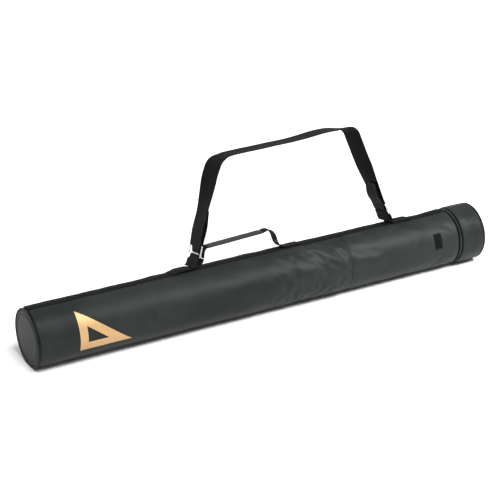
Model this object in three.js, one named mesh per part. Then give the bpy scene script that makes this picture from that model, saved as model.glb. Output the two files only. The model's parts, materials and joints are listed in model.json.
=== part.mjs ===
// A soft-covered drawing tube: a rigid tube in padded imitation leather with a zipped hinged lid at its
// right end, a carry handle and a shoulder strap. Millimetres, +X from the base to the lid, +Z up.
// The origin is on the floor under the middle of the tube.
import * as THREE from 'three';
import { TessellateModifier } from 'three/addons/modifiers/TessellateModifier.js';

// Driving sizes of the case. Places along the tube are measured from the base end.
const LENGTH = 872;
const COVER_R = 50;
const REST_DEPTH = 49; // from the tube's axis down to the flat that the case rests on
const SKIN = 1.2; // thickness of the imitation leather
const GAP = 0.3; // between pieces that touch
const FOAM = 2.2;
const CORE_WALL = 2;
const LINING = 0.8;
const LID_LINING = 0.9;
const SEAM_X = 590; // the welt between the long and the short cover
const WELT_WIDTH = 2.4;
const MOUTH_X = 814.5; // the cover ends here, at the zip
const LID_X = 819; // the middle of the zip chain, and the lid's hinge line
const BASE_BOARD_END = 5.1; // from the outer face of the base to the inner face of its board
const END_BOARD_X = 866.8; // the inner face of the board in the lid's end
const PIPING_END = 4; // the piping of the base ends here and the long cover starts
const LID_R = 51.5;
const CARRY_ANGLE = 11.5; // degrees behind the top: handle and strap stand on this line
const HINGE_ANGLE = 26; // degrees behind the top: middle of the lid's hinge
const HINGE_HALF = 18;
const SLIDER_ANGLE = 62; // where the zip slider is parked, behind the top
const ROUND_STEPS = 48;

// The zip: chain and tape rings on each side of the hinge line.
const CHAIN_WIDTH = 3.65;
const CHAIN_R = 50.2;
const CHAIN_FROM = HINGE_ANGLE + HINGE_HALF + 4;
const CHAIN_TO = HINGE_ANGLE - HINGE_HALF - 4 + 360;
const TAPE_WIDTH = 12;

// Webbing.
const BAND_WIDTH = 25;
const BAND_THICK = 1;
const BAND_FROM = 5;
const BAND_TO = 811;
const TAB_WIDTH = 34; // of the sewn tabs that hold the strap
const STRAP_WIDTH = 38;
const STRAP_THICK = 1.6;
const HANDLE_WIDTH = 20;
const HANDLE_THICK = 1.2;

// The strap's slides: three bars in a flat frame.
const BAR_HEIGHT = 3;
const BAR_THICK = 2;
const BAR_PITCH = 9;
const SLIDE_INNER = 39.2;
const SLIDE_SIDE = 2.8;
const TURN_R = BAR_THICK / 2 + GAP + STRAP_THICK / 2; // the webbing's turn round a bar
const TURN_DROP = 1.1; // from the middle of a bar to the centre of that turn
const SLIDE_LEFT = { x: 315.5, r: 79.5, lean: 18.7 };
const SLIDE_RIGHT = { x: 686.5, r: 79.5, lean: -19.3 };

const SKIN_COLOUR = '#3b4442';
const WEB_COLOUR = '#1c1c1b';
const BOARD_COLOUR = '#8d7658';
const FOAM_COLOUR = '#c9c6bd';
const LINING_COLOUR = '#33363a';
const NICKEL_COLOUR = '#c9ccce';
const GOLD_COLOUR = '#dcba88';

const rad = THREE.MathUtils.degToRad;

// A section drawn in Y and Z and swept along +X.
const SECTION_TO_X = new THREE.Matrix4().set(0, 0, 1, 0, 1, 0, 0, 0, 0, 1, 0, 0, 0, 0, 0, 1);

const tube = new THREE.Group();
tube.position.set(-LENGTH / 2, 0, REST_DEPTH);

const carry = new THREE.Group();
carry.rotation.x = -rad(CARRY_ANGLE);
tube.add(carry);

function addMesh(parent, name, geometry, colour, roughness = 0.6, metalness = 0) {
  const material = new THREE.MeshStandardMaterial({ color: colour, roughness, metalness });
  const mesh = new THREE.Mesh(geometry, material);
  mesh.name = name;
  parent.add(mesh);
  return mesh;
}

// A point of the section at an angle in degrees from the top, positive to the back (+Y).
function polar(radius, angle, depth = Infinity) {
  const z = Math.max(radius * Math.cos(rad(angle)), -depth);
  return new THREE.Vector2(radius * Math.sin(rad(angle)), z);
}

function roundOutline(radius, depth) {
  const points = [];
  for (let i = 0; i < ROUND_STEPS; i += 1) {
    points.push(polar(radius, -(360 * i) / ROUND_STEPS, depth));
  }
  return points;
}

function sweepX(shape, xFrom, xTo) {
  const geometry = new THREE.ExtrudeGeometry(shape, { depth: xTo - xFrom, bevelEnabled: false });
  geometry.applyMatrix4(SECTION_TO_X);
  geometry.translate(xFrom, 0, 0);
  return geometry;
}

// A ring round the tube; each depth is where its outer or inner outline is flattened underneath.
function ring(xFrom, xTo, rIn, rOut, depthIn = Infinity, depthOut = Infinity) {
  const shape = new THREE.Shape(roundOutline(rOut, depthOut));
  shape.holes.push(new THREE.Path(roundOutline(rIn, depthIn)));
  return sweepX(shape, xFrom, xTo);
}

function disc(xFrom, xTo, radius) {
  return sweepX(new THREE.Shape(roundOutline(radius)), xFrom, xTo);
}

// Part of a ring between two angles, from the front one to the back one.
function sector(xFrom, xTo, rIn, rOut, from, to, depthIn = Infinity, depthOut = Infinity) {
  const steps = Math.max(1, Math.ceil((to - from) / 7.5));
  const outer = [];
  const inner = [];
  for (let i = 0; i <= steps; i += 1) {
    const angle = from + ((to - from) * i) / steps;
    outer.push(polar(rOut, angle, depthOut));
    inner.unshift(polar(rIn, angle, depthIn));
  }
  return sweepX(new THREE.Shape([...outer, ...inner]), xFrom, xTo);
}

// Half the angle that a flat width takes on a radius, in degrees.
function halfAngle(width, radius) {
  return THREE.MathUtils.radToDeg(width / 2 / radius);
}

function webSector(xFrom, xTo, rIn, thick, width) {
  const half = halfAngle(width, rIn);
  return sector(xFrom, xTo, rIn, rIn + thick, -half, half);
}

// A curve through hand-placed points of the upright plane: x along the tube, r from its axis.
function smooth(points, count) {
  const curve = new THREE.CatmullRomCurve3(
    points.map(([x, r]) => new THREE.Vector3(x, r, 0)),
    false,
    'centripetal',
  );
  return curve.getSpacedPoints(count).map((p) => new THREE.Vector2(p.x, p.y));
}

function normals(line) {
  return line.map((_, i) => {
    const before = line[Math.max(i - 1, 0)];
    const after = line[Math.min(i + 1, line.length - 1)];
    const along = after.clone().sub(before).normalize();
    return new THREE.Vector2(-along.y, along.x);
  });
}

function offset(line, distance) {
  const away = normals(line);
  return line.map((p, i) => p.clone().addScaledVector(away[i], distance));
}

// Webbing that follows a line of the upright plane, with its width across the tube.
function ribbon(line, thick, width) {
  const outline = [...offset(line, thick / 2), ...offset(line, -thick / 2).reverse()];
  const geometry = new THREE.ExtrudeGeometry(new THREE.Shape(outline), { depth: width, bevelEnabled: false });
  geometry.rotateX(Math.PI / 2);
  geometry.translate(0, width / 2, 0);
  return geometry;
}

function buildTube() {
  const endX = BASE_BOARD_END + GAP;
  const foamOut = COVER_R - SKIN - GAP;
  const foamIn = foamOut - FOAM;
  const coreOut = foamIn - GAP;
  const coreIn = coreOut - CORE_WALL;
  const liningOut = coreIn - GAP;
  const tubeEnd = MOUTH_X + 0.5;
  const foamEnd = LID_X - GAP - TAPE_WIDTH - 0.7;
  addMesh(tube, 'core_tube', ring(endX, tubeEnd, coreIn, coreOut), BOARD_COLOUR, 0.8);
  addMesh(tube, 'foam_sleeve', ring(endX, foamEnd, foamIn, foamOut, foamIn, foamOut - 1), FOAM_COLOUR, 0.9);
  addMesh(tube, 'lining_sleeve', ring(endX, tubeEnd, liningOut - LINING, liningOut), LINING_COLOUR, 0.9);
  addMesh(tube, 'base_lining', disc(endX, endX + 0.5, liningOut - LINING - GAP), LINING_COLOUR, 0.9);
}

function buildBase() {
  const panelR = 46;
  addMesh(tube, 'base_panel', disc(0, SKIN, panelR), SKIN_COLOUR);
  addMesh(tube, 'base_board', disc(SKIN + GAP, BASE_BOARD_END, panelR), BOARD_COLOUR, 0.8);
  const piping = ring(GAP, PIPING_END, panelR + GAP, COVER_R, Infinity, REST_DEPTH);
  addMesh(tube, 'base_piping', piping, WEB_COLOUR);
}

function buildCover() {
  const inner = COVER_R - SKIN;
  const depthIn = REST_DEPTH - SKIN;
  const welt = WELT_WIDTH / 2;
  const cover = (from, to, rOut) => ring(from, to, inner, rOut, depthIn, REST_DEPTH);
  addMesh(tube, 'cover_long', cover(PIPING_END + GAP, SEAM_X - welt - GAP, COVER_R), SKIN_COLOUR);
  addMesh(tube, 'seam_welt', cover(SEAM_X - welt, SEAM_X + welt, COVER_R + 0.2), SKIN_COLOUR);
  addMesh(tube, 'cover_short', cover(SEAM_X + welt + GAP, MOUTH_X, COVER_R), SKIN_COLOUR);
  const label = { from: 763, to: 778, thick: 0.8, front: -85, back: -53 };
  const labelR = COVER_R + GAP;
  const patch = sector(label.from, label.to, labelR, labelR + label.thick, label.front, label.back);
  addMesh(tube, 'label_patch', patch, WEB_COLOUR, 0.8);
}

// The foil mark by the base: a plain set square, cut flat and wrapped round the cover.
function buildFoilMark() {
  const width = 92;
  const height = 70;
  const bar = 14;
  const middle = { x: 118, angle: -73 };
  const slope = height / width;
  const slant = bar * Math.hypot(1, slope);
  const outline = new THREE.Shape([
    new THREE.Vector2(0, 0),
    new THREE.Vector2(width, 0),
    new THREE.Vector2(0, height),
  ]);
  const innerTop = height - slant - slope * bar;
  const innerRight = (height - slant - bar) / slope;
  outline.holes.push(
    new THREE.Path([
      new THREE.Vector2(bar, bar),
      new THREE.Vector2(bar, innerTop),
      new THREE.Vector2(innerRight, bar),
    ]),
  );
  const foil = 0.3;
  const flat = new THREE.ExtrudeGeometry(outline, { depth: foil, bevelEnabled: false });
  const geometry = new TessellateModifier(7, 12).modify(flat);
  const place = geometry.attributes.position;
  for (let i = 0; i < place.count; i += 1) {
    const radius = COVER_R + GAP + place.getZ(i);
    const angle = middle.angle + THREE.MathUtils.radToDeg((place.getY(i) - height / 2) / COVER_R);
    const point = polar(radius, angle);
    place.setXYZ(i, middle.x - width / 2 + place.getX(i), point.x, point.y);
  }
  addMesh(tube, 'foil_mark', geometry, GOLD_COLOUR, 0.35, 0.6);
}

function buildLid() {
  const inner = LID_R - SKIN;
  const start = MOUTH_X + 9;
  const end = LENGTH - 3.7;
  const depth = REST_DEPTH - SKIN;
  const panelR = 47.6;
  const foamIn = COVER_R - SKIN;
  const liningDepth = REST_DEPTH - 3;
  const liningStart = LID_X + TAPE_WIDTH + GAP;
  const softEnd = END_BOARD_X - GAP;
  addMesh(tube, 'lid_side', ring(start, end, inner, LID_R, depth, REST_DEPTH), SKIN_COLOUR);
  const foamStart = start + SKIN + GAP; // behind the turned-in rim of the leather
  const foam = ring(foamStart, softEnd, foamIn, inner - GAP, depth - 1.5, depth - GAP);
  addMesh(tube, 'lid_foam', foam, FOAM_COLOUR, 0.9);
  const lining = ring(liningStart, softEnd, panelR, panelR + LID_LINING, liningDepth - LID_LINING, liningDepth);
  addMesh(tube, 'lid_lining', lining, LINING_COLOUR, 0.9);
  addMesh(tube, 'lid_end_lining', disc(softEnd - 0.6, softEnd, 44.8), LINING_COLOUR, 0.9);
  addMesh(tube, 'lid_board', disc(END_BOARD_X, LENGTH - SKIN - GAP, panelR), BOARD_COLOUR, 0.8);
  addMesh(tube, 'lid_panel', disc(LENGTH - SKIN, LENGTH, panelR), SKIN_COLOUR);
  const piping = ring(end + GAP, LENGTH - GAP, panelR + GAP, LID_R - 0.1, Infinity, REST_DEPTH);
  addMesh(tube, 'lid_piping', piping, WEB_COLOUR);
}

function buildZip() {
  const chainIn = COVER_R - SKIN;
  const depthIn = REST_DEPTH - SKIN;
  const half = GAP / 2;
  const chain = (from) =>
    sector(from, from + CHAIN_WIDTH, chainIn, CHAIN_R, CHAIN_FROM, CHAIN_TO, depthIn, REST_DEPTH - GAP);
  const tape = (from, to, depth) =>
    sector(from, to, chainIn - 1.2, chainIn - GAP, CHAIN_FROM, CHAIN_TO, depth - 0.9, depth);
  addMesh(tube, 'zip_teeth_case', chain(LID_X - half - CHAIN_WIDTH), WEB_COLOUR);
  addMesh(tube, 'zip_teeth_lid', chain(LID_X + half), WEB_COLOUR);
  const caseTape = tape(LID_X - GAP - TAPE_WIDTH, LID_X - GAP, REST_DEPTH - 1.5);
  addMesh(tube, 'zip_tape_case', caseTape, WEB_COLOUR, 0.9);
  const lidTape = tape(LID_X + GAP, LID_X + TAPE_WIDTH, REST_DEPTH - 3);
  addMesh(tube, 'zip_tape_lid', lidTape, WEB_COLOUR, 0.9);
  const hinge = sector(
    LID_X - half - CHAIN_WIDTH,
    LID_X + half + CHAIN_WIDTH,
    chainIn,
    CHAIN_R,
    HINGE_ANGLE - HINGE_HALF,
    HINGE_ANGLE + HINGE_HALF,
  );
  addMesh(tube, 'lid_hinge_tape', hinge, SKIN_COLOUR);
  const stopEnd = LID_X - 0.4;
  const stop = (angle) => sector(stopEnd - 3, stopEnd, chainIn, CHAIN_R + 0.4, angle - 1, angle + 1);
  addMesh(tube, 'zip_stop_back', stop(CHAIN_FROM - 2), NICKEL_COLOUR, 0.3, 1);
  addMesh(tube, 'zip_stop_front', stop(CHAIN_TO - 360 + 2), NICKEL_COLOUR, 0.3, 1);
}

// The slider rides on the chain; its pull turns on a bar held under a small arch.
function buildSlider() {
  const width = 7.6;
  const bottom = CHAIN_R + 0.9; // the open lid's chain lifts a little as it leaves the slider
  const top = bottom + 2.8;
  const left = LID_X - width / 2;
  const body = sector(left, left + width, bottom, top, SLIDER_ANGLE - 6.5, SLIDER_ANGLE + 6.5);
  addMesh(tube, 'zip_slider', body, NICKEL_COLOUR, 0.3, 1);

  const place = new THREE.Group();
  place.rotation.x = -rad(SLIDER_ANGLE);
  tube.add(place);
  const foot = top + GAP;
  const arch = new THREE.Shape();
  const archHalf = 3.6;
  const holeHalf = 2.2;
  const archHeight = 3.4;
  const holeHeight = 2.2;
  arch.moveTo(-archHalf, 0);
  arch.lineTo(-holeHalf, 0);
  arch.lineTo(-holeHalf, holeHeight);
  arch.lineTo(holeHalf, holeHeight);
  arch.lineTo(holeHalf, 0);
  arch.lineTo(archHalf, 0);
  arch.lineTo(archHalf, archHeight - 1);
  arch.lineTo(archHalf - 1, archHeight);
  arch.lineTo(1 - archHalf, archHeight);
  arch.lineTo(-archHalf, archHeight - 1);
  const archGeometry = sweepX(arch, LID_X - 1, LID_X + 1);
  archGeometry.translate(0, 0, foot);
  addMesh(place, 'zip_slider_arch', archGeometry, NICKEL_COLOUR, 0.3, 1);

  const pullHalf = 2.9;
  const pullLength = 19;
  const windowHalf = 1.35;
  const pull = new THREE.Shape([
    new THREE.Vector2(-pullHalf, -0.6),
    new THREE.Vector2(pullHalf, -0.6),
    new THREE.Vector2(pullHalf, pullLength - 2),
    new THREE.Vector2(pullHalf - 1.5, pullLength),
    new THREE.Vector2(1.5 - pullHalf, pullLength),
    new THREE.Vector2(-pullHalf, pullLength - 2),
  ]);
  pull.holes.push(
    new THREE.Path([
      new THREE.Vector2(-windowHalf, 0.6),
      new THREE.Vector2(-windowHalf, 5),
      new THREE.Vector2(windowHalf, 5),
      new THREE.Vector2(windowHalf, 0.6),
    ]),
  );
  const pullGeometry = new THREE.ExtrudeGeometry(pull, { depth: HANDLE_THICK, bevelEnabled: false });
  pullGeometry.translate(LID_X, 0, foot + holeHeight / 2 - HANDLE_THICK / 2);
  addMesh(place, 'zip_pull', pullGeometry, NICKEL_COLOUR, 0.3, 1);
}

// Webbing sewn along the carry line: the band, and the tabs that hold the strap.
function buildBand() {
  const bandR = COVER_R + GAP;
  const tabR = bandR + BAND_THICK + GAP;
  const overFoot = Math.hypot(tabR + HANDLE_THICK, HANDLE_WIDTH / 2) + GAP; // clears the flat handle foot
  const band = webSector(BAND_FROM, BAND_TO, bandR, BAND_THICK, BAND_WIDTH);
  addMesh(carry, 'top_band', band, WEB_COLOUR, 0.9);
  const tab = (from, to, radius) => webSector(from, to, radius, SKIN, TAB_WIDTH);
  addMesh(carry, 'anchor_tab_left', tab(262, 299, overFoot), WEB_COLOUR, 0.9);
  addMesh(carry, 'anchor_tab_right', tab(699, 738, tabR), WEB_COLOUR, 0.9);
}

// A frame of three bars, held across the strap: the webbing turns round the middle bar.
function slide(name, { x, r, lean }) {
  const shape = new THREE.Shape();
  const halfWidth = SLIDE_INNER / 2 + SLIDE_SIDE;
  const halfHeight = BAR_PITCH + BAR_HEIGHT / 2;
  const corner = 2;
  shape.moveTo(-halfWidth + corner, -halfHeight);
  shape.lineTo(halfWidth - corner, -halfHeight);
  shape.lineTo(halfWidth, -halfHeight + corner);
  shape.lineTo(halfWidth, halfHeight - corner);
  shape.lineTo(halfWidth - corner, halfHeight);
  shape.lineTo(-halfWidth + corner, halfHeight);
  shape.lineTo(-halfWidth, halfHeight - corner);
  shape.lineTo(-halfWidth, -halfHeight + corner);
  for (const side of [-1, 1]) {
    const near = (side * BAR_HEIGHT) / 2;
    const far = side * (BAR_PITCH - BAR_HEIGHT / 2);
    const window = new THREE.Path();
    window.moveTo(-SLIDE_INNER / 2, near);
    window.lineTo(-SLIDE_INNER / 2, far);
    window.lineTo(SLIDE_INNER / 2, far);
    window.lineTo(SLIDE_INNER / 2, near);
    shape.holes.push(window);
  }
  const geometry = sweepX(shape, -BAR_THICK / 2, BAR_THICK / 2);
  const mesh = addMesh(carry, name, geometry, NICKEL_COLOUR, 0.25, 1);
  mesh.rotation.y = rad(lean);
  mesh.position.set(x, 0, r);
}

// A place beside a slide: up along the strap, across towards the lid.
function bySlide({ x, r, lean }, up, across) {
  const s = Math.sin(rad(lean));
  const c = Math.cos(rad(lean));
  return new THREE.Vector2(x + up * s + across * c, r + up * c - across * s);
}

// The webbing's half turn round a bar, from the base side to the lid side.
function turn(slideAt, centreUp, below) {
  const points = [];
  for (let i = 0; i <= 8; i += 1) {
    const angle = Math.PI * (i / 8);
    const up = centreUp + (below ? -1 : 1) * TURN_R * Math.sin(angle);
    points.push(bySlide(slideAt, up, -TURN_R * Math.cos(angle)));
  }
  return points;
}

// One length of webbing: tail, turn, left leg, top, right leg, turn, tail.
function buildStrap() {
  slide('glide_left', SLIDE_LEFT);
  slide('glide_right', SLIDE_RIGHT);
  const start = [6, 13].map((up) => bySlide(SLIDE_LEFT, up, -TURN_R));
  const end = [13, 6].map((up) => bySlide(SLIDE_RIGHT, up, -TURN_R));
  const loop = [
    [322.5, 111],
    [334.5, 142],
    [346, 174],
    [358, 206],
    [368, 220],
    [385, 228],
    [418, 230.5],
    [480, 230.8],
    [525, 231.8],
    [575, 235.5],
    [604, 237],
    [624, 234],
    [635, 226],
    [643, 204],
    [651, 179],
    [661, 149],
    [671, 121],
  ];
  const points = [...start.map((p) => [p.x, p.y]), ...loop, ...end.map((p) => [p.x, p.y])];
  const main = smooth(points, 110);
  const spacing = 2 * TURN_R;
  const tailLeft = offset(main.slice(0, 13), -spacing).reverse();
  const tailRight = offset(main.slice(-13), spacing).reverse();
  const line = [
    ...tailLeft,
    ...turn(SLIDE_LEFT, -TURN_DROP, true).reverse(),
    ...main,
    ...turn(SLIDE_RIGHT, -TURN_DROP, true),
    ...tailRight,
  ];
  addMesh(carry, 'shoulder_strap', ribbon(line, STRAP_THICK, STRAP_WIDTH), WEB_COLOUR, 0.9);
}

// The short loops that hold the slides: up from the case, round the lowest bar and back.
function buildAnchorLoops() {
  const centre = -BAR_PITCH + TURN_DROP;
  const left = [
    ...smooth([[301, 54.2], [304.5, 56.2], [307.2, 61], [309.5, 67]], 8),
    ...turn(SLIDE_LEFT, centre, false),
    ...smooth([[315, 66.5], [314.6, 61.5], [313.4, 57]], 5),
  ];
  addMesh(carry, 'anchor_loop_left', ribbon(left, STRAP_THICK, STRAP_WIDTH), WEB_COLOUR, 0.9);
  const right = [
    ...smooth([[692.5, 54.5], [690.6, 59.5], [688.8, 66]], 6),
    ...turn(SLIDE_RIGHT, centre, false),
    ...smooth([[694, 67.5], [696.4, 61.5], [698.6, 57], [703, 54.5]], 8),
  ];
  addMesh(carry, 'anchor_loop_right', ribbon(right, STRAP_THICK, STRAP_WIDTH), WEB_COLOUR, 0.9);
}

function buildHandle() {
  const footR = COVER_R + GAP + BAND_THICK + GAP + HANDLE_THICK / 2;
  const barLeft = new THREE.Vector2(334, 81.8);
  const barRight = new THREE.Vector2(444, 85.9);
  const web = [
    ...smooth([[321.8, 64.5], [322.6, 70.5], [325.4, 77.5], [330, 81.2], [barLeft.x, barLeft.y]], 14),
    ...smooth(
      [[barRight.x, barRight.y], [450, 87.6], [456.5, 87], [462, 82.5], [465.6, 76], [467.4, 69.5],
        [468.6, 64.5]],
      18,
    ),
  ];
  addMesh(carry, 'handle_web', ribbon(web, HANDLE_THICK, HANDLE_WIDTH), WEB_COLOUR, 0.9);
  const footLeft = smooth(
    [[266, footR], [290, footR], [306, footR], [313.5, 53.6], [318.6, 57.4], [321.4, 63.6]],
    20,
  );
  addMesh(carry, 'handle_foot_left', ribbon(footLeft, HANDLE_THICK, HANDLE_WIDTH), WEB_COLOUR, 0.9);
  const footRight = smooth(
    [[468.9, 63.6], [471.6, 58.2], [476.6, 53.8], [485, footR], [498, footR], [512, footR]],
    18,
  );
  addMesh(carry, 'handle_foot_right', ribbon(footRight, HANDLE_THICK, HANDLE_WIDTH), WEB_COLOUR, 0.9);

  const wall = 0.6;
  const section = (growY, growZ) => {
    const y = HANDLE_WIDTH / 2 + growY;
    const z = HANDLE_THICK / 2 + growZ;
    return [
      new THREE.Vector2(-y, -z),
      new THREE.Vector2(y, -z),
      new THREE.Vector2(y, z),
      new THREE.Vector2(-y, z),
    ];
  };
  const sleeve = new THREE.Shape(section(GAP + wall, GAP + wall));
  sleeve.holes.push(new THREE.Path(section(GAP, GAP)));
  const length = barLeft.distanceTo(barRight);
  const grip = addMesh(carry, 'handle_grip', sweepX(sleeve, 2, length - 2), SKIN_COLOUR, 0.55);
  grip.rotation.y = -barRight.clone().sub(barLeft).angle();
  grip.position.set(barLeft.x, 0, barLeft.y);
}

buildTube();
buildBase();
buildCover();
buildFoilMark();
buildLid();
buildZip();
buildSlider();
buildBand();
buildStrap();
buildAnchorLoops();
buildHandle();

export default tube;
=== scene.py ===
"""Looks for a padded drawing tube with a zipped lid, a carry handle and a shoulder strap."""

import json
import math

from contextlib import contextmanager

import bmesh
import bpy
from mathutils import Matrix, Vector, noise


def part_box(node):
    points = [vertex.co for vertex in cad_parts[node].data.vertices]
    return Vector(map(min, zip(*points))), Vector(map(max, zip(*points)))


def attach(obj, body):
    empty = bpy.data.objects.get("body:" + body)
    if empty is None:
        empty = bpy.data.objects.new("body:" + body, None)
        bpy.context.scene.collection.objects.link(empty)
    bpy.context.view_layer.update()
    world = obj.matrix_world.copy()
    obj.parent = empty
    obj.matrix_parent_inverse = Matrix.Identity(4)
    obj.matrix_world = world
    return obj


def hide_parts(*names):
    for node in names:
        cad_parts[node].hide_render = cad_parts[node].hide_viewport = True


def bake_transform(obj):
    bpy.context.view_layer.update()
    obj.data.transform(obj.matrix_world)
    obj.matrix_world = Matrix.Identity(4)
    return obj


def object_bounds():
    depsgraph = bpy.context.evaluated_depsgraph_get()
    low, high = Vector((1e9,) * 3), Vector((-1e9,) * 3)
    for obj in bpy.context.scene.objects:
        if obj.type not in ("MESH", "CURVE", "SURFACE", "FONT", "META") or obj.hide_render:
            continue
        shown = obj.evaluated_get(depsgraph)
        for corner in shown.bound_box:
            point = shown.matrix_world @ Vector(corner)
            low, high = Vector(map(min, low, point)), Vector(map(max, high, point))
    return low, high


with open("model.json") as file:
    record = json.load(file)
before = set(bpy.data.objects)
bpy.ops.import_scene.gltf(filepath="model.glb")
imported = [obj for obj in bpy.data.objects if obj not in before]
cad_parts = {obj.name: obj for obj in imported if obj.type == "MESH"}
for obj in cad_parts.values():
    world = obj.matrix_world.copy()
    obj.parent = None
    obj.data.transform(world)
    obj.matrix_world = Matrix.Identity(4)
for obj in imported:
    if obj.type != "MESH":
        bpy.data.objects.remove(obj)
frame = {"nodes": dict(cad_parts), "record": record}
cad_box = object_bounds()


# ---------------------------------------------------------------- tube and end boards
# A spiral-wound tube of brown board carries the whole case, and a round board stiffens each end.
# The paper is matt, with pale fibres and the slanting joins of its winding, and its cut rims show
# inside the open mouth.

CORE_LOW, CORE_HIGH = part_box("core_tube")
AXIS_Z = (CORE_LOW[2] + CORE_HIGH[2]) / 2
BASE_X = cad_box[0][0]
BOARD_BROWN = (0.26, 0.175, 0.095)
BOARD_PALE = (0.36, 0.265, 0.165)
WINDING_WIDTH = 0.085


class Signal:
    """An output of a shader node. Arithmetic on it adds Math nodes to the same material."""

    def __init__(self, finish, socket):
        self.finish = finish
        self.socket = socket

    def math(self, operation, *others):
        values = dict(enumerate((self, *others)))
        return self.finish.node("ShaderNodeMath", {"operation": operation}, values)

    def __add__(self, other):
        return self.math("ADD", other)

    def __sub__(self, other):
        return self.math("SUBTRACT", other)

    def __mul__(self, other):
        return self.math("MULTIPLY", other)

    def __truediv__(self, other):
        return self.math("DIVIDE", other)

    def __rsub__(self, other):
        return self.math("MULTIPLY", -1.0).math("ADD", other)

    __radd__ = __add__
    __rmul__ = __mul__

    def sine(self):
        return self.math("SINE")

    def between(self, low, high):
        """0 at low and 1 at high, eased at both."""
        settings = {"interpolation_type": "SMOOTHSTEP"}
        sockets = {"Value": self, "From Min": low, "From Max": high}
        return self.finish.node("ShaderNodeMapRange", settings, sockets)


LABELS = {"specular_ior_level": "Specular IOR Level"}


class Finish:
    """A Principled material. Every other node in it is made by node()."""

    def __init__(self, name, **fixed):
        self.material = bpy.data.materials.new(name)
        self.material.use_nodes = True
        self.tree = self.material.node_tree
        self.surface = self.tree.nodes["Principled BSDF"]
        self.feed(**fixed)

    def put(self, socket, value):
        if isinstance(value, Signal):
            self.tree.links.new(value.socket, socket)
        elif socket.type == "RGBA":
            socket.default_value = (*value, 1.0)
        else:
            socket.default_value = value

    def node(self, kind, settings, sockets, out=0):
        made = self.tree.nodes.new(kind)
        for key, value in settings.items():
            setattr(made, key, value)
        for key, value in sockets.items():
            self.put(made.inputs[key], value)
        return Signal(self, made.outputs[out])

    def feed(self, **sockets):
        for key, value in sockets.items():
            label = LABELS.get(key, key.replace("_", " ").title())
            self.put(self.surface.inputs[label], value)

    def place(self):
        """Object coordinates, in metres."""
        return self.node("ShaderNodeTexCoord", {}, {}, out=3)

    def parts(self, vector):
        split = self.node("ShaderNodeSeparateXYZ", {}, {"Vector": vector})
        return [Signal(self, output) for output in split.socket.node.outputs]

    def around(self, vector):
        """How far round the tube a place is, in radians from the top."""
        x, y, z = self.parts(vector)
        return self.node("ShaderNodeMath", {"operation": "ARCTAN2"}, {0: y, 1: z - AXIS_Z})

    def cells(self, vector, scale, **settings):
        """Small cells for a grain: soft pebbles, or the walls of a foam."""
        sockets = {"Vector": vector, "Scale": scale}
        if "smoothness" in settings:
            sockets["Smoothness"] = settings.pop("smoothness")
        return self.node("ShaderNodeTexVoronoi", settings, sockets)

    def cloud(self, vector, scale, detail=3.0):
        sockets = {"Vector": vector, "Scale": scale, "Detail": detail}
        return self.node("ShaderNodeTexNoise", {}, sockets)

    def blend(self, amount, first, second):
        sockets = {"Factor": amount, 6: first, 7: second}
        return self.node("ShaderNodeMix", {"data_type": "RGBA"}, sockets, out=2)

    def relief(self, height, depth, strength):
        sockets = {"Height": height, "Distance": depth, "Strength": strength}
        self.feed(normal=self.node("ShaderNodeBump", {}, sockets))


def board_finish():
    board = Finish("wound board", roughness=0.85)
    place = board.place()
    winding = (board.parts(place)[0] / WINDING_WIDTH + board.around(place) / math.tau).math("FRACT")
    join = winding.between(0.0, 0.02) * winding.between(1.0, 0.98)
    fibres = board.cloud(place, 900.0, 5.0)
    blotches = board.cloud(place, 40.0)
    board.feed(base_color=board.blend(fibres * 0.6 + blotches * 0.5 - 0.1, BOARD_BROWN, BOARD_PALE))
    board.relief(fibres * 0.2 + join, 0.0003, 0.5)
    return board


def wear(finish, *names):
    """Gives nodes of the model their finish."""
    for name in names:
        for held in frame["nodes"][name].material_slots:
            held.material = finish.material


BOARD = board_finish()
wear(BOARD, "core_tube", "base_board", "lid_board")


# ---------------------------------------------------------------- padding and lining
# Thin white foam lies between the board and the cover. A grey woven lining is glued inside the
# tube, over the inner face of both ends and round the inside of the lid.

FOAM_WHITE = (0.60, 0.58, 0.53)
FOAM_CREAM = (0.70, 0.67, 0.60)
LINING_GREY = (0.045, 0.050, 0.060)
LINING_PALE = (0.085, 0.092, 0.105)
LINING_R = 0.043
LINING_THREAD = 0.0009

foam = Finish("open foam", roughness=0.95)
foam_place = foam.place()
foam.feed(base_color=foam.blend(foam.cloud(foam_place, 60.0), FOAM_WHITE, FOAM_CREAM))
foam.relief(foam.cells(foam_place, 1200.0, feature="DISTANCE_TO_EDGE"), 0.0006, 0.7)


def woven(name, dark, lit, radius, weft, warp, cloud_scale, cloud_share, **fixed):
    """Plain-woven cloth laid round a radius; weft and warp are the widths of its threads."""
    cloth = Finish(name, **fixed)
    place = cloth.place()
    rounds = (cloth.around(place) * (math.tau * radius / warp)).sine()
    weave = (cloth.parts(place)[0] * (math.tau / weft)).sine() * rounds * 0.5 + 0.5
    tone = weave * (1 - cloud_share) + cloth.cloud(place, cloud_scale) * cloud_share
    cloth.feed(base_color=cloth.blend(tone, dark, lit))
    cloth.relief(weave, 0.0002, 0.6)
    return cloth


lining_weave = (LINING_R, LINING_THREAD, LINING_THREAD, 25.0, 0.3)
LINING = woven("woven lining", LINING_GREY, LINING_PALE, *lining_weave, roughness=0.8)
wear(LINING, "lining_sleeve", "base_lining", "lid_lining", "lid_end_lining")


# ---------------------------------------------------------------- long and short cover
# Soft imitation leather, dark green and satin, sewn into a sleeve that is drawn over the padding.
# It is cut in two lengths that meet at a sewn ring. It wrinkles beside that ring and below the
# handle, where the load pulls, and lies flat where the case rests on it.

SKIN_THICK = 0.0012
SKIN_DARK = (0.0115, 0.0142, 0.0134)
SKIN_LIT = (0.0220, 0.0262, 0.0250)
COVER_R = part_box("cover_long")[1][2] - AXIS_Z
HEM = 0.010
CARRY_LEAN = math.degrees(math.atan2(0.014354, 0.070555))
MERGE_GAP = 0.00001


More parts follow.
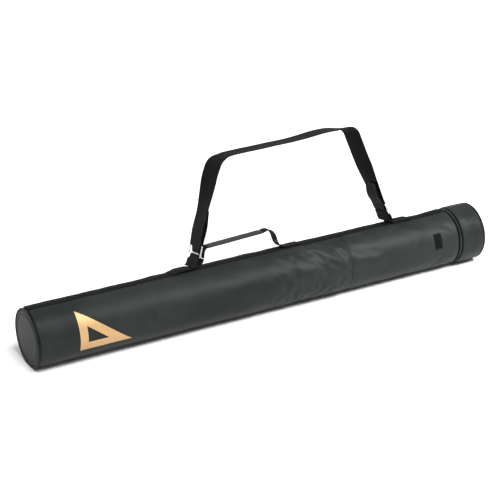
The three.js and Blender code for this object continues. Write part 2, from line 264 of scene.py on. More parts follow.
def pick(piece):
    bpy.ops.object.select_all(action="DESELECT")
    piece.select_set(True)
    bpy.context.view_layer.objects.active = piece


@contextmanager
def editing(piece, mode="VERT"):
    """Opens a piece in edit mode with nothing selected, and closes it again."""
    pick(piece)
    bpy.ops.object.mode_set(mode="EDIT")
    bpy.ops.mesh.select_mode(type=mode)
    bpy.ops.mesh.select_all(action="DESELECT")
    yield bmesh.from_edit_mesh(piece.data)
    bpy.ops.object.mode_set(mode="OBJECT")


def named(name):
    """Names the primitive that was just added, and its mesh."""
    piece = bpy.context.object
    piece.name = piece.data.name = name
    return piece


def face_outwards():
    bpy.ops.mesh.select_all(action="SELECT")
    bpy.ops.mesh.normals_make_consistent(inside=False)


def clamped(value):
    return max(0.0, min(1.0, value))


def at(x, radius, angle):
    """x from the outer face of the base; angle in degrees from the top, positive to the back."""
    turn = math.radians(angle)
    return Vector((BASE_X + x, radius * math.sin(turn), AXIS_Z + radius * math.cos(turn)))


def settle(point, floor=0.0, ease=0.0015):
    """Lifts a point that would be under the floor, with a soft bend where the flat begins."""
    depth = (point.z - floor) / ease
    if depth < 1:
        point.z = floor + ease * (max(depth + 1, 0) ** 2) / 4
    return point


def apply_step(piece, kind, **settings):
    pick(piece)
    step = piece.modifiers.new(kind.title(), kind)
    for key, value in settings.items():
        setattr(step, key, value)
    bpy.ops.object.modifier_apply(modifier=step.name)


def thicken(piece, thickness, offset=0.0):
    apply_step(piece, "SOLIDIFY", thickness=thickness, offset=offset)


def soften(piece, width, segments=2, angle=60):
    """Rounds the piece's edges that are sharper than an angle."""
    limit = {"limit_method": "ANGLE", "angle_limit": math.radians(angle)}
    apply_step(piece, "BEVEL", width=width, segments=segments, **limit)


def dress(piece, finish, body, slot, *nodes, smooth=50):
    """The last step of a piece: finish, shading, body (None if it bends), slot (not used) and nodes."""
    piece.data.materials.clear()
    piece.data.materials.append(finish.material)
    pick(piece)
    bpy.ops.object.shade_smooth_by_angle(angle=math.radians(smooth))
    if body:
        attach(piece, body)
    if nodes:
        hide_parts(*nodes)


def rolled_sheet(name, x_from, x_to, along, around, shape):
    """A flat sheet rolled round the tube and joined along its top line; shape gives each point."""
    bpy.ops.mesh.primitive_grid_add(x_subdivisions=along, y_subdivisions=around, size=1)
    sheet = named(name)
    for vertex in sheet.data.vertices:
        x = x_from + (vertex.co.x + 0.5) * (x_to - x_from)
        vertex.co = shape(x, vertex.co.y * 360 + CARRY_LEAN + 180)
    with editing(sheet):
        bpy.ops.mesh.select_all(action="SELECT")
        bpy.ops.mesh.remove_doubles(threshold=MERGE_GAP)
        face_outwards()
    return sheet


WAIST_X = 0.764
WAIST_DEPTH = 0.0016

# Each fold: its two ends as (x, angle), its width and its height, in metres.
COVER_FOLDS = (
    ((0.500, -12), (0.560, -42), 0.0080, 0.0016),
    ((0.520, -10), (0.583, -30), 0.0060, -0.0012),
    ((0.485, -20), (0.535, -66), 0.0090, -0.0013),
    ((0.530, -36), (0.580, -72), 0.0075, 0.0015),
    ((0.548, -60), (0.586, -88), 0.0060, -0.0014),
    ((0.560, -22), (0.588, -50), 0.0050, 0.0012),
    ((0.470, -48), (0.520, -82), 0.0100, 0.0011),
    ((0.592, -40), (0.640, -58), 0.0070, -0.0010),
    ((0.592, -66), (0.650, -76), 0.0080, 0.0009),
    ((0.440, -14), (0.470, -34), 0.0070, 0.0008),
    ((0.360, -6), (0.440, -18), 0.0060, 0.0007),
    ((0.340, -16), (0.372, -44), 0.0090, -0.0006),
    ((0.700, -14), (0.742, -38), 0.0080, 0.0007),
    ((0.770, -20), (0.806, -52), 0.0070, -0.0008),
    ((0.786, -46), (0.812, -84), 0.0060, 0.0007),
    ((0.530, 40), (0.584, 76), 0.0080, 0.0014),
    ((0.500, 60), (0.560, 98), 0.0090, -0.0012),
    ((0.555, 90), (0.586, 130), 0.0070, 0.0012),
    ((0.592, 60), (0.645, 84), 0.0080, -0.0010),
    ((0.240, 46), (0.330, 70), 0.0100, 0.0008),
    ((0.120, 80), (0.200, 112), 0.0110, -0.0007),
)


def fold_height(x, angle, folds=COVER_FOLDS):
    """How far the folds and the unevenness of the padding lift the sleeve at a place."""
    lift = 0.0
    place = Vector((x, COVER_R * math.radians(angle)))
    for (x_start, angle_start), (x_end, angle_end), width, height in folds:
        start = Vector((x_start, COVER_R * math.radians(angle_start)))
        run = Vector((x_end, COVER_R * math.radians(angle_end))) - start
        share = clamped((place - start).dot(run) / run.length_squared)
        away = (place - start - run * share).length / width
        swell = 0.5 + 1.1 * math.sin(math.pi * (0.15 + 0.7 * share))
        lift += height * math.exp(-away * away) * swell
    place = at(x, COVER_R, angle)
    lift += 0.0006 * noise.noise(place * 22) + 0.00022 * noise.noise(place * 75)
    return lift - WAIST_DEPTH * math.exp(-(((x - WAIST_X) / 0.030) ** 2) - (angle / 60) ** 2)


def sleeve_point(x_from, x_to):
    """The sleeve's outer face. Past its end it is turned in, down to the padding."""

    def shape(x, angle):
        turned = (angle + 180) % 360 - 180
        if x > x_to:
            return settle(at(x_to, COVER_R - 0.0010 - (x - x_to), angle), 0.0006)
        edge = min(x - x_from, x_to - x)
        pinch = 0.0006 * math.exp(-((edge - 0.004) / 0.0016) ** 2)
        pinch += 0.0007 * math.exp(-(edge / 0.0012) ** 2)
        radius = COVER_R + 0.0002 + fold_height(x, turned) * clamped(edge / HEM) - pinch
        return settle(at(x, radius, angle))

    return shape


def skin_finish(name, dark, lit, grain=1300.0):
    """Satin imitation leather: a fine pebble grain, soft clouding and a little scuffing."""
    skin = Finish(name, specular_ior_level=0.09)
    place = skin.place()
    pebbles = skin.cells(place, grain, feature="SMOOTH_F1", smoothness=0.4)
    clouding = skin.cloud(place, 9.0, 4.0)
    rubbing = skin.cloud(place, 55.0, 6.0).between(0.52, 0.74)
    skin.feed(base_color=skin.blend(clouding.between(0.3, 0.7) * 0.8 + rubbing * 0.25, dark, lit))
    skin.feed(roughness=0.40 + clouding * 0.08 + rubbing * 0.06)
    waves = skin.cloud(place, 160.0, 2.0)
    skin.relief(pebbles + waves * 1.4, 0.00012, 0.55)
    return skin


SKIN = skin_finish("green imitation leather", SKIN_DARK, SKIN_LIT)

CLOTH_STEPS = 20
CLOTH_SLACK = 0.026
CLOTH_RISE = 0.0022
CLOTH_DIP = 0.0008
UNDER_BAND = 17
ON_FLOOR = 150
EASE_ANGLE = 14
CLOTH_SETTINGS = {
    "quality": 5,
    "mass": 0.02,
    "tension_stiffness": 30,
    "compression_stiffness": 30,
    "shear_stiffness": 12,
    "bending_stiffness": 0.6,
    "vertex_group_mass": "held",
    "vertex_group_shrink": "tight",
    "shrink_min": -CLOTH_SLACK,
    "shrink_max": 0.0,
    "use_pressure": True,
    "uniform_pressure_force": 2.0,
}


def eased(value, low, high):
    share = clamped((value - low) / (high - low))
    return share * share * (3 - 2 * share)


def settle_as_cloth(sheet, radius, looseness):
    """The sleeve, cut with some slack, settles over its padding. Its sewn lines stay put."""
    lying = {"location": (0, 0, AXIS_Z), "rotation": (0, math.pi / 2, 0)}
    bpy.ops.mesh.primitive_cylinder_add(vertices=96, radius=radius - 0.0030, depth=1.0, **lying)
    padding = bpy.context.object
    padding.modifiers.new("Collision", "COLLISION")
    padding.collision.thickness_outer = 0.001
    start = [vertex.co.copy() for vertex in sheet.data.vertices]
    free = []
    held = sheet.vertex_groups.new(name="held")
    tight = sheet.vertex_groups.new(name="tight")
    for vertex in sheet.data.vertices:
        turned = math.degrees(math.atan2(vertex.co.y, vertex.co.z - AXIS_Z))
        away = abs((turned - CARRY_LEAN + 180) % 360 - 180)
        share = looseness(vertex.co.x - BASE_X, turned)
        by_floor = eased(away, ON_FLOOR, ON_FLOOR + EASE_ANGLE)
        share *= eased(away, UNDER_BAND, UNDER_BAND + EASE_ANGLE) * (1 - by_floor)
        free.append(share)
        held.add([vertex.index], 1.0 if share < 0.02 else 0.0, "REPLACE")
        tight.add([vertex.index], 1.0 - share, "REPLACE")
    cloth = sheet.modifiers.new("Cloth", "CLOTH")
    cloth.point_cache.frame_end = CLOTH_STEPS
    for key, value in CLOTH_SETTINGS.items():
        setattr(cloth.settings, key, value)
    cloth.settings.effector_weights.gravity = 0
    cloth.collision_settings.distance_min = 0.001
    for step in range(1, CLOTH_STEPS + 1):
        bpy.context.scene.frame_set(step)
    pick(sheet)
    bpy.ops.object.modifier_apply(modifier=cloth.name)
    bpy.context.scene.frame_set(1)
    bpy.data.objects.remove(padding)
    sheet.vertex_groups.clear()
    for vertex, was, share in zip(sheet.data.vertices, start, free):
        axis = Vector((0, was.y, was.z - AXIS_Z)).normalized()
        move = vertex.co - was
        lift = max(-CLOTH_DIP, min(CLOTH_RISE, move.dot(axis))) * min(1.0, share * 2)
        slide = (move - axis * move.dot(axis)) * min(1.0, share)
        if slide.length > CLOTH_RISE:
            slide *= CLOTH_RISE / slide.length
        vertex.co = settle(was + axis * lift + slide)


def loose_between(x_from, x_slack, x_tight, x_to, most=1.0):
    """How slack a sleeve is at a place: it is tight at both ends and slack in the middle."""
    return lambda x, turned: most * eased(x, x_from, x_slack) * (1 - eased(x, x_tight, x_to))


def cover(name, node, looseness, turn_in=0.0):
    x_from, x_to = span(node)
    along = round((x_to - x_from) / COVER_MESH)
    sheet = rolled_sheet(name, x_from, x_to + turn_in, along, 96, sleeve_point(x_from, x_to))
    settle_as_cloth(sheet, COVER_R, looseness)
    thicken(sheet, SKIN_THICK, -1.0)
    dress(sheet, SKIN, "case", "skin", node)


def span(node):
    """Where a node starts and ends along the tube, from the outer face of the base."""
    low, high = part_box(node)
    return low[0] - BASE_X, high[0] - BASE_X


def slack_by_zip(x, turned):
    """The short cover is slack behind the zip, apart from where its label is sewn."""
    by_label = eased(turned, -104, -92) * (1 - eased(turned, -46, -34))
    return 0.45 * eased(x, 0.735, 0.765) * (1 - eased(x, 0.795, 0.811)) * (1 - by_label)


COVER_MESH = 0.0036
cover("long_cover", "cover_long", loose_between(0.395, 0.520, 0.572, 0.585))
cover("short_cover", "cover_short", slack_by_zip, turn_in=0.003)


# ---------------------------------------------------------------- sewn ring between the covers
# The raw edges of both covers are turned under and a narrow strip of the same material is sewn
# between them. The thread pulls it in, so it lies in a shallow groove with a stitch row each side.

FLOOR_EASE = 0.0012
THREAD_DARK = (0.012, 0.013, 0.013)
THREAD_LIT = (0.035, 0.037, 0.036)

def close_holes():
    bpy.ops.mesh.select_all(action="DESELECT")
    bpy.ops.mesh.select_non_manifold()
    bpy.ops.mesh.fill_holes(sides=0)


def turned_piece(name, profile, steps=120, start=0.0, sweep=360.0):
    """A closed section of (x, radius) points, turned round the tube from one angle to another."""
    bpy.ops.mesh.primitive_circle_add(vertices=len(profile))
    piece = named(name)
    for vertex, (x, radius) in zip(piece.data.vertices, profile):
        vertex.co = at(x, radius, start)
    with editing(piece):
        bpy.ops.mesh.select_all(action="SELECT")
        axis = {"center": (0, 0, AXIS_Z), "axis": (-1, 0, 0)}
        bpy.ops.mesh.spin(steps=steps, angle=math.radians(sweep), **axis)
        bpy.ops.mesh.select_all(action="SELECT")
        bpy.ops.mesh.remove_doubles(threshold=MERGE_GAP)
        if sweep < 360:
            close_holes()
        face_outwards()
    return piece


def squared(value, power):
    """Brings a sine or cosine nearer to 1 or -1, which squares off the oval it draws."""
    return math.copysign(abs(value) ** power, value)


def oval(x, radius, half_x, half_r, count=14, power=1.0):
    """An oval section for turned_piece, as (x, radius) points; power under 1 squares it off."""
    points = []
    for step in range(count):
        turn = math.tau * step / count
        across, out = math.cos(turn), math.sin(turn)
        points.append((x + half_x * squared(across, power), radius + half_r * squared(out, power)))
    return points


def rest_on_floor(piece, floor=0.0, ease=FLOOR_EASE):
    for vertex in piece.data.vertices:
        vertex.co = settle(vertex.co, floor, ease)


THREAD_THICK = 0.00045
STITCH_LENGTH = 0.0026
STITCH_PITCH = 0.0036
STITCH_FLOOR = 0.0002
SEAM_ASIDE = 0.0042


def stood(point, *axes):
    """Sets a thing at a point, with its own x, y and z along three directions."""
    return Matrix.Translation(point) @ Matrix(axes).transposed().to_4x4()


def copy_to(piece, turns):
    """Copies the piece's mesh to every place and keeps only the copies."""
    one = bmesh.new()
    one.from_mesh(piece.data)
    row = bmesh.new()
    for turn in turns:
        copies = {v: row.verts.new(turn @ v.co) for v in one.verts}
        for face in one.faces:
            row.faces.new([copies[v] for v in face.verts])
    row.to_mesh(piece.data)
    row.free()
    one.free()


def stitch_row(name, places, body, length=STITCH_LENGTH):
    """One stitch is modelled and copied to every place, given as (point, direction, outward)."""
    bpy.ops.mesh.primitive_uv_sphere_add(segments=6, ring_count=4, radius=1)
    piece = named(name)
    with editing(piece):
        bpy.ops.mesh.select_all(action="SELECT")
        bpy.ops.transform.resize(value=(length / 2, THREAD_THICK / 2, THREAD_THICK / 2))
    turns = []
    for point, direction, outward in places:
        side = outward.cross(direction).normalized()
        up = direction.cross(side).normalized()
        turns.append(stood(point, direction.normalized(), side, up))
    copy_to(piece, turns)
    dress(piece, thread, body, "webbing", smooth=180)


def outward_at(angle):
    return at(0, 1, angle) - at(0, 0, angle)


def round_places(x, radius):
    """Places for a row of stitches right round the tube."""
    count = int(math.radians(360.0) * radius / STITCH_PITCH)
    places = []
    for step in range(count):
        angle = 360.0 * (step + 0.5) / count
        point = settle(at(x, radius, angle), STITCH_FLOOR, FLOOR_EASE)
        ahead = settle(at(x, radius, angle + 1), STITCH_FLOOR, FLOOR_EASE)
        places.append((point, ahead - point, outward_at(angle)))
    return places


thread = Finish("black thread", roughness=0.6)
thread_place = thread.place()
thread_twist = (thread.parts(thread_place)[0] * 9000.0 + thread.cloud(thread_place, 900.0) * 4.0).sine()
thread.feed(base_color=thread.blend(thread_twist * 0.5 + 0.5, THREAD_DARK, THREAD_LIT))
thread.relief(thread_twist, 0.0001, 0.5)

welt_from, welt_to = span("seam_welt")
welt_middle = (welt_from + welt_to) / 2
seam_ring = turned_piece("seam_ring", oval(welt_middle, COVER_R - 0.0007, 0.0012, 0.0006, 12, 0.7))
rest_on_floor(seam_ring)
dress(seam_ring, SKIN, "case", "skin", "seam_welt")
for seam_side, seam_x in (("base", welt_from - SEAM_ASIDE), ("lid", welt_to + SEAM_ASIDE)):
    stitch_row("seam_stitches_" + seam_side, round_places(seam_x, COVER_R - 0.00035), "case")


# ---------------------------------------------------------------- base end
# A round panel of the same material over board closes the base. A fat dark piping is sewn round
# its edge, and the thread of that seam draws the panel in beside it, so its middle stands proud.

PIPING_DARK = (0.0040, 0.0048, 0.0046)
PIPING_LIT = (0.0085, 0.0100, 0.0096)
PANEL_DARK = (0.0180, 0.0180, 0.0160)
PANEL_LIT = (0.0290, 0.0285, 0.0255)
# Painted shade: the near-black colour painted into the groove where the seam draws the end panel in.
SEAM_GROOVE_SHADE = (0.002, 0.002, 0.002)
PANEL_CROWN = 0.0007
PANEL_RINGS = 40
RIM_SHARE = 0.880
MIDDLE_R = 0.00002

PIPING = skin_finish("dark piping", PIPING_DARK, PIPING_LIT, 1600.0)


def end_finish():
    """A warmer, paler leather inside the seam and the cover's own leather turned over outside it, with
    painted shade, near-black, along the seam groove between them.
    """
    skin = skin_finish("end panel imitation leather", PANEL_DARK, PANEL_LIT)
    x, y, z = skin.parts(skin.place())
    rise = z - AXIS_Z
    share = (y * y + rise * rise).math("SQRT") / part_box("base_panel")[1][1]
    inner = Signal(skin, skin.surface.inputs["Base Color"].links[0].from_socket)
    outer = skin.blend(skin.cloud(skin.place(), 9.0, 4.0), SKIN_DARK, SKIN_LIT)
    colour = skin.blend(share.between(RIM_SHARE - 0.01, RIM_SHARE), inner, outer)
    # Painted shade: a near-black ring is painted along the seam groove, about 2 mm wide.
    groove_shade_inside = share.between(RIM_SHARE - 0.024, RIM_SHARE - 0.012)
    seam = groove_shade_inside * share.between(RIM_SHARE + 0.026, RIM_SHARE + 0.012)
    skin.feed(base_color=skin.blend(seam, colour, SEAM_GROOVE_SHADE))
    return skin


END_SKIN = end_finish()


def end_panel(name, node, outward, body):
    """A round panel, turned from its section: crowned in the middle and drawn in at the seam."""
    x_low, x_high = span(node)
    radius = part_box(node)[1][1]
    face, back = (x_low, x_high) if outward < 0 else (x_high, x_low)
    outer = []
    for step in range(PANEL_RINGS + 1):
        share = step / PANEL_RINGS
        dish = PANEL_CROWN * (1 - share ** 2)
        groove = 0.0010 * math.exp(-(((share - RIM_SHARE) / 0.018) ** 2))
        edge = 0.0007 * max(0.0, (share - 0.95) / 0.05) ** 2
        drawn_in = PANEL_CROWN - dish + groove + edge
        outer.append((face - outward * drawn_in, max(radius * share, MIDDLE_R)))
    section = outer + [(back, radius), (back, MIDDLE_R)]
    piece = turned_piece(name, section, 96)
    with editing(piece):
        bpy.ops.mesh.select_all(action="SELECT")
        bpy.ops.mesh.remove_doubles(threshold=4 * MIDDLE_R)
        close_holes()
        face_outwards()
    dress(piece, END_SKIN, body, "skin", node)


def bead(name, node, radius, half_width, body):
    """A covered cord, sewn in round an end."""
    low, high = span(node)
    piece = turned_piece(name, oval((low + high) / 2, radius, half_width, 0.0018, 16))
    rest_on_floor(piece, 0.0002)
    dress(piece, PIPING, body, "piping", node)


end_panel("base_end_panel", "base_panel", -1, "case")
bead("base_bead", "base_piping", COVER_R - 0.0018, 0.0019, "case")


# ---------------------------------------------------------------- foil mark
# A plain set square in pale gold foil, heat-pressed on the front of the long cover by the base.
# The foil is a film, so it follows the leather's grain and its edge is only slightly raised.

MARK_WIDTH = 0.092
MARK_HEIGHT = 0.070
MARK_BAR = 0.014
MARK_X = 0.118
MARK_ANGLE = -73
MARK_CUTS = 32
FOIL_PROUD = 0.00035
FOIL_THICK = 0.0003
FOIL_DARK = (0.485, 0.296, 0.128)
FOIL_LIT = (0.528, 0.334, 0.156)
FOIL_WORN = (0.277, 0.173, 0.078)

foil = Finish("pale gold foil", metallic=0.35)
foil_place = foil.place()
foil_cloud = foil.cloud(foil_place, 30.0, 4.0)
foil_specks = foil.cloud(foil_place, 420.0, 5.0).between(0.60, 0.72)
foil_tone = foil.blend(foil_cloud.between(0.3, 0.7), FOIL_DARK, FOIL_LIT)
foil.feed(base_color=foil.blend(foil_specks * 0.35, foil_tone, FOIL_WORN))
foil.feed(roughness=0.42 + foil_cloud * 0.10 + foil_specks * 0.2)
foil.relief(foil.cells(foil_place, 1300.0, feature="SMOOTH_F1", smoothness=0.5), 0.00009, 0.5)


def set_square_corners():
    """The outer and inner corners of the set square, flat, from its square corner."""
    slope = MARK_HEIGHT / MARK_WIDTH
    slant = MARK_BAR * math.hypot(1, slope)
    outer = [(0, 0), (MARK_WIDTH, 0), (0, MARK_HEIGHT)]
    inner_top = MARK_HEIGHT - slant - slope * MARK_BAR
    inner_right = (MARK_HEIGHT - slant - MARK_BAR) / slope
    return outer, [(MARK_BAR, MARK_BAR), (inner_right, MARK_BAR), (MARK_BAR, inner_top)]


def cut_all(place, direction):
    bpy.ops.mesh.select_all(action="SELECT")
    bpy.ops.mesh.bisect(plane_co=place, plane_no=direction)


def set_square():
    """The three corners are filled as a ring of three flat bars, cut fine, and laid on the cover."""
    outer, inner = set_square_corners()
    bpy.ops.mesh.primitive_circle_add(vertices=3)
    piece = named("foil_set_square")
    for vertex, (x, y) in zip(piece.data.vertices, outer):
        vertex.co = (x, y, 0)
    with editing(piece, "EDGE") as mesh:
        bpy.ops.mesh.select_all(action="SELECT")
        bpy.ops.mesh.extrude_edges_move()
        for corner in [vertex for vertex in mesh.verts if vertex.select]:
            nearest = min(range(3), key=lambda i: (corner.co - Vector((*outer[i], 0))).length)
            corner.co = (*inner[nearest], 0)
        for cut in range(1, MARK_CUTS):
            share = cut / MARK_CUTS
            cut_all((MARK_WIDTH * share, 0, 0), (1, 0, 0))
            cut_all((0, MARK_HEIGHT * share, 0), (0, 1, 0))
    for vertex in piece.data.vertices:
        x = MARK_X - MARK_WIDTH / 2 + vertex.co.x
        angle = MARK_ANGLE + math.degrees((vertex.co.y - MARK_HEIGHT / 2) / COVER_R)
        vertex.co = at(x, COVER_R + FOIL_PROUD + fold_height(x, angle), angle)
    with editing(piece):
        bpy.ops.mesh.select_all(action="SELECT")
        bpy.ops.mesh.remove_doubles(threshold=MERGE_GAP)
        face_outwards()
    thicken(piece, FOIL_THICK)
    return piece


dress(set_square(), foil, "case", "foil", "foil_mark")


# ---------------------------------------------------------------- webbing and its finish
# All the straps are flat woven black webbing with ribs along it and thicker edges. Each length is
# cut from the roll, folded where it turns, and sewn down with black thread.

WEB_DARK = (0.0018, 0.0018, 0.0017)
WEB_LIT = (0.0080, 0.0079, 0.0072)
PICK_PITCH = 0.0017


def webbing_finish(name, dark, lit, width, ribs):
    """Plain-woven webbing: u runs along it in metres and v across it from edge to edge."""
    web = Finish(name, specular_ior_level=0.06, sheen_weight=0.03, sheen_roughness=0.35)
    chart = web.node("ShaderNodeUVMap", {"uv_map": "UVMap"}, {})
    along, across, _ = web.parts(chart)
    picks = (along * (math.tau / PICK_PITCH)).sine()
    warps = (across * (math.tau * ribs / width)).sine()
    weave = picks * warps * 0.35 + warps * 0.35 + 0.5
    fibres = web.cloud(web.place(), 1500.0, 4.0)
    fading = web.cloud(web.place(), 28.0, 3.0)
    off_middle = (across - width / 2).math("ABSOLUTE")
    selvedge = off_middle.between(width / 2 - 0.0022, width / 2 - 0.0010)
    tone = weave * 0.55 + fibres * 0.3 + fading * 0.35 - 0.15 + selvedge * 0.12
    web.feed(base_color=web.blend(tone, dark, lit), roughness=0.62 + weave * 0.16)
    web.relief(weave + fibres * 0.3 + selvedge * 0.6, 0.00035, 0.8)
    return web


def smooth_line(points, count):
    """Evenly spaced points on a soft curve through given ones, in the upright plane."""
    held = [Vector(p) for p in points]
    held = [held[0] * 2 - held[1], *held, held[-1] * 2 - held[-2]]
    fine = []
    for p0, p1, p2, p3 in zip(held, held[1:], held[2:], held[3:]):
        t1 = (p1 - p0).length ** 0.5
        t2 = t1 + (p2 - p1).length ** 0.5
        t3 = t2 + (p3 - p2).length ** 0.5
        for step in range(24):
            t = t1 + (t2 - t1) * step / 24
            a1 = p0.lerp(p1, t / t1)
            a2 = p1.lerp(p2, (t - t1) / (t2 - t1))
            a3 = p2.lerp(p3, (t - t2) / (t3 - t2))
            b1 = a1.lerp(a2, t / t2)
            b2 = a2.lerp(a3, (t - t1) / (t3 - t1))
            fine.append(b1.lerp(b2, (t - t1) / (t2 - t1)))
    fine.append(held[-2])
    return even_line(fine, count)


def run_of(line):
    """How far along a line each of its points lies."""
    lengths = [0.0]
    for before, after in zip(line, line[1:]):
        lengths.append(lengths[-1] + (after - before).length)
    return lengths


def even_line(fine, count):
    lengths = run_of(fine)
    line = []
    piece = 0
    for step in range(count + 1):
        wanted = lengths[-1] * step / count
        while piece < len(fine) - 2 and lengths[piece + 1] < wanted:
            piece += 1
        share = (wanted - lengths[piece]) / max(lengths[piece + 1] - lengths[piece], 1e-9)
        line.append(fine[piece].lerp(fine[piece + 1], share))
    return line


def line_normals(line):
    """The direction across a line in its plane, at each of its points."""
    found = []
    for step in range(len(line)):
        along = line[min(step + 1, len(line) - 1)] - line[max(step - 1, 0)]
        found.append(Vector((-along.y, along.x)).normalized())
    return found


LEAN_SIN = math.sin(math.radians(CARRY_LEAN))
LEAN_COS = math.cos(math.radians(CARRY_LEAN))


def on_carry(x, rise, across):
    """A place in the upright plane that handle and strap stand in, which leans back a little."""
    y = rise * LEAN_SIN + across * LEAN_COS
    return Vector((BASE_X + x, y, AXIS_Z + rise * LEAN_COS - across * LEAN_SIN))


def finish_web(piece, thick):
    """Gives a flat length of webbing its thickness and its soft edges."""
    thicken(piece, thick)
    soften(piece, thick * 0.3)


def ribbon(name, line, thick, width, columns, shape):
    """Webbing along a line of (x, rise). shape may move a point across, or off its face."""
    bpy.ops.mesh.primitive_grid_add(x_subdivisions=len(line) - 1, y_subdivisions=columns, size=1)
    piece = named(name)
    away = line_normals(line)
    lengths = run_of(line)
    for vertex in piece.data.vertices:
        step = round((vertex.co.x + 0.5) * (len(line) - 1))
        side = vertex.co.y * 2
        across, lift = shape(step, side)
        place = line[step] + away[step] * lift
        vertex.co = on_carry(place.x, place.y, side * width / 2 + across)
    for corner in piece.data.uv_layers.active.data:
        step = round(corner.uv.x * (len(line) - 1))
        corner.uv = (lengths[step], corner.uv.y * width)
    finish_web(piece, thick)
    with editing(piece):
        face_outwards()
    return piece


# ---------------------------------------------------------------- band along the top
# A 25 mm webbing band hides the seam where the covers close along the top. It is sewn down near
# both of its edges, and rises and falls a little between the stitches.

BAND_WIDTH = 0.025
BAND_THICK = 0.001
BAND_R = COVER_R + 0.0003
BAND_SEAM = 0.0100
WEB_MESH = 0.003

BAND_WEB = webbing_finish("band webbing", WEB_DARK, WEB_LIT, BAND_WIDTH, 9)


def band_shape(x, across):
    """The band's outer face: it bulges between its seams and ripples slightly along them."""
    edge = abs(across) / (BAND_WIDTH / 2)
    ripple = 0.0004 * noise.noise(Vector((x * 45, 3.0, edge)))
    seam = 0.00035 * math.exp(-(((edge - 0.80) / 0.07) ** 2))
    lump = 0.0006 * math.exp(-(((x - 0.405) / 0.030) ** 2))
    angle = CARRY_LEAN + math.degrees(across / BAND_R)
    lift = max(fold_height(x, angle), -0.002)
    return at(x, BAND_R + BAND_THICK / 2 + ripple + lump - seam + lift, angle)


def wrapped_web(name, x_from, x_to, width, thick, columns, shape):
    """A length of webbing lying along the tube; shape gives each point of its middle layer."""
    along = round((x_to - x_from) / WEB_MESH)
    bpy.ops.mesh.primitive_grid_add(x_subdivisions=along, y_subdivisions=columns, size=1)
    piece = named(name)
    for vertex in piece.data.vertices:
        vertex.co = shape(x_from + (vertex.co.x + 0.5) * (x_to - x_from), vertex.co.y * width)
    for corner in piece.data.uv_layers.active.data:
        corner.uv = (corner.uv.x * (x_to - x_from), corner.uv.y * width)
    finish_web(piece, thick)
    return piece


band_from, band_to = span("top_band")
band_size = (BAND_WIDTH, BAND_THICK, 14)
top_band = wrapped_web("top_webbing_band", band_from, band_to, *band_size, band_shape)
dress(top_band, BAND_WEB, "case", "webbing", "top_band")


def on_web(point, ahead, lift):
    """The place of a stitch that lies on webbing round the tube and points ahead."""
    outward = (point - Vector((point.x, 0, AXIS_Z))).normalized()
    return point + outward * lift, ahead - point, outward


def along_places(x_from, x_to, across, shape, lift, pitch=STITCH_PITCH):
    count = int((x_to - x_from) / pitch)
    places = []
    for step in range(count):
        x = x_from + (x_to - x_from) * (step + 0.5) / count
        places.append(on_web(shape(x, across), shape(x + 0.001, across), lift))
    return places


for edge_name, edge_side in (("front", -1), ("back", 1)):
    seam = along_places(band_from, band_to, edge_side * BAND_SEAM, band_shape, BAND_THICK / 2)
    stitch_row("band_stitches_" + edge_name, seam, "case")


# ---------------------------------------------------------------- label patch
# A small blank patch of black coated cloth is sewn on the short cover near the zip. It is folded
# over at both ends, slightly padded by that, and sewn down along its edges.

LABEL_THICK = 0.0008
LABEL_PUFF = 0.0003

LABEL_ANGLE = -69
LABEL_LONG = 0.0282
LABEL_DARK = (0.0012, 0.0016, 0.0015)
LABEL_LIT = (0.0048, 0.0060, 0.0056)
LABEL_HEM = 0.001

label_from, label_to = span("label_patch")
LABEL_CLOTH = webbing_finish("label cloth", LABEL_DARK, LABEL_LIT, 0.015, 14)


def label_shape(x, across):
    rim = min(x - label_from, label_to - x, LABEL_LONG / 2 - abs(across))
    puff = LABEL_PUFF * (1 - math.exp(-max(rim, 0) / 0.0012))
    angle = LABEL_ANGLE + math.degrees(across / COVER_R)
    return at(x, COVER_R + 0.0003 + LABEL_THICK / 2 + puff + fold_height(x, angle), angle)


label = wrapped_web("blank_label", label_from, label_to, LABEL_LONG, LABEL_THICK, 12, label_shape)
dress(label, LABEL_CLOTH, "case", "webbing", "label_patch")
label_seam = []
for across in (0.0016 - LABEL_LONG / 2, LABEL_LONG / 2 - 0.0016):
    ends = (label_from + LABEL_HEM, label_to - LABEL_HEM)
    label_seam += along_places(*ends, across, label_shape, LABEL_THICK / 2, 0.0024)
stitch_row("label_stitches", label_seam, "case", 0.0017)


# ---------------------------------------------------------------- lid
# A short round cap of the same imitation leather over foam, wider than the case by its foam. Its
# rim is turned in at the zip and sewn down, and a thin piping finishes its closed end.

LID_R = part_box("lid_side")[1][2] - AXIS_Z
LID_SEAM = 0.0045
LID_HEM = 0.008
LID_FOLDS = (
    ((0.826, -30), (0.846, -38), 0.0070, 0.0003),
    ((0.825, -52), (0.852, -60), 0.0070, -0.0003),
    ((0.827, 10), (0.850, 18), 0.0070, -0.0006),
    ((0.850, -96), (0.866, -104), 0.0060, 0.0007),
    ((0.826, 70), (0.852, 84), 0.0070, 0.0008),
    ((0.832, 110), (0.862, 122), 0.0080, -0.0007),
)


def lid_point(x, angle):
    """The lid's outer face. Before its rim it is turned in, down to the zip tape."""
    turned = (angle + 180) % 360 - 180
    rim, far = x - lid_from, lid_to - x
    if rim < 0:
        return settle(at(lid_from, LID_R - 0.0010 + rim, angle), 0.0006)
    seam = 0.0005 * math.exp(-(((rim - LID_SEAM) / 0.0010) ** 2))
    seam += 0.0007 * math.exp(-((rim / 0.0010) ** 2))
    tuck = 0.0009 * math.exp(-((far / 0.0022) ** 2))
    crown = 0.0004 * math.sin(math.pi * rim / (lid_to - lid_from))
    lift = fold_height(x, turned, LID_FOLDS) * clamped(min(rim, far) / LID_HEM)
    return settle(at(x, LID_R + crown - seam - tuck + lift, angle))


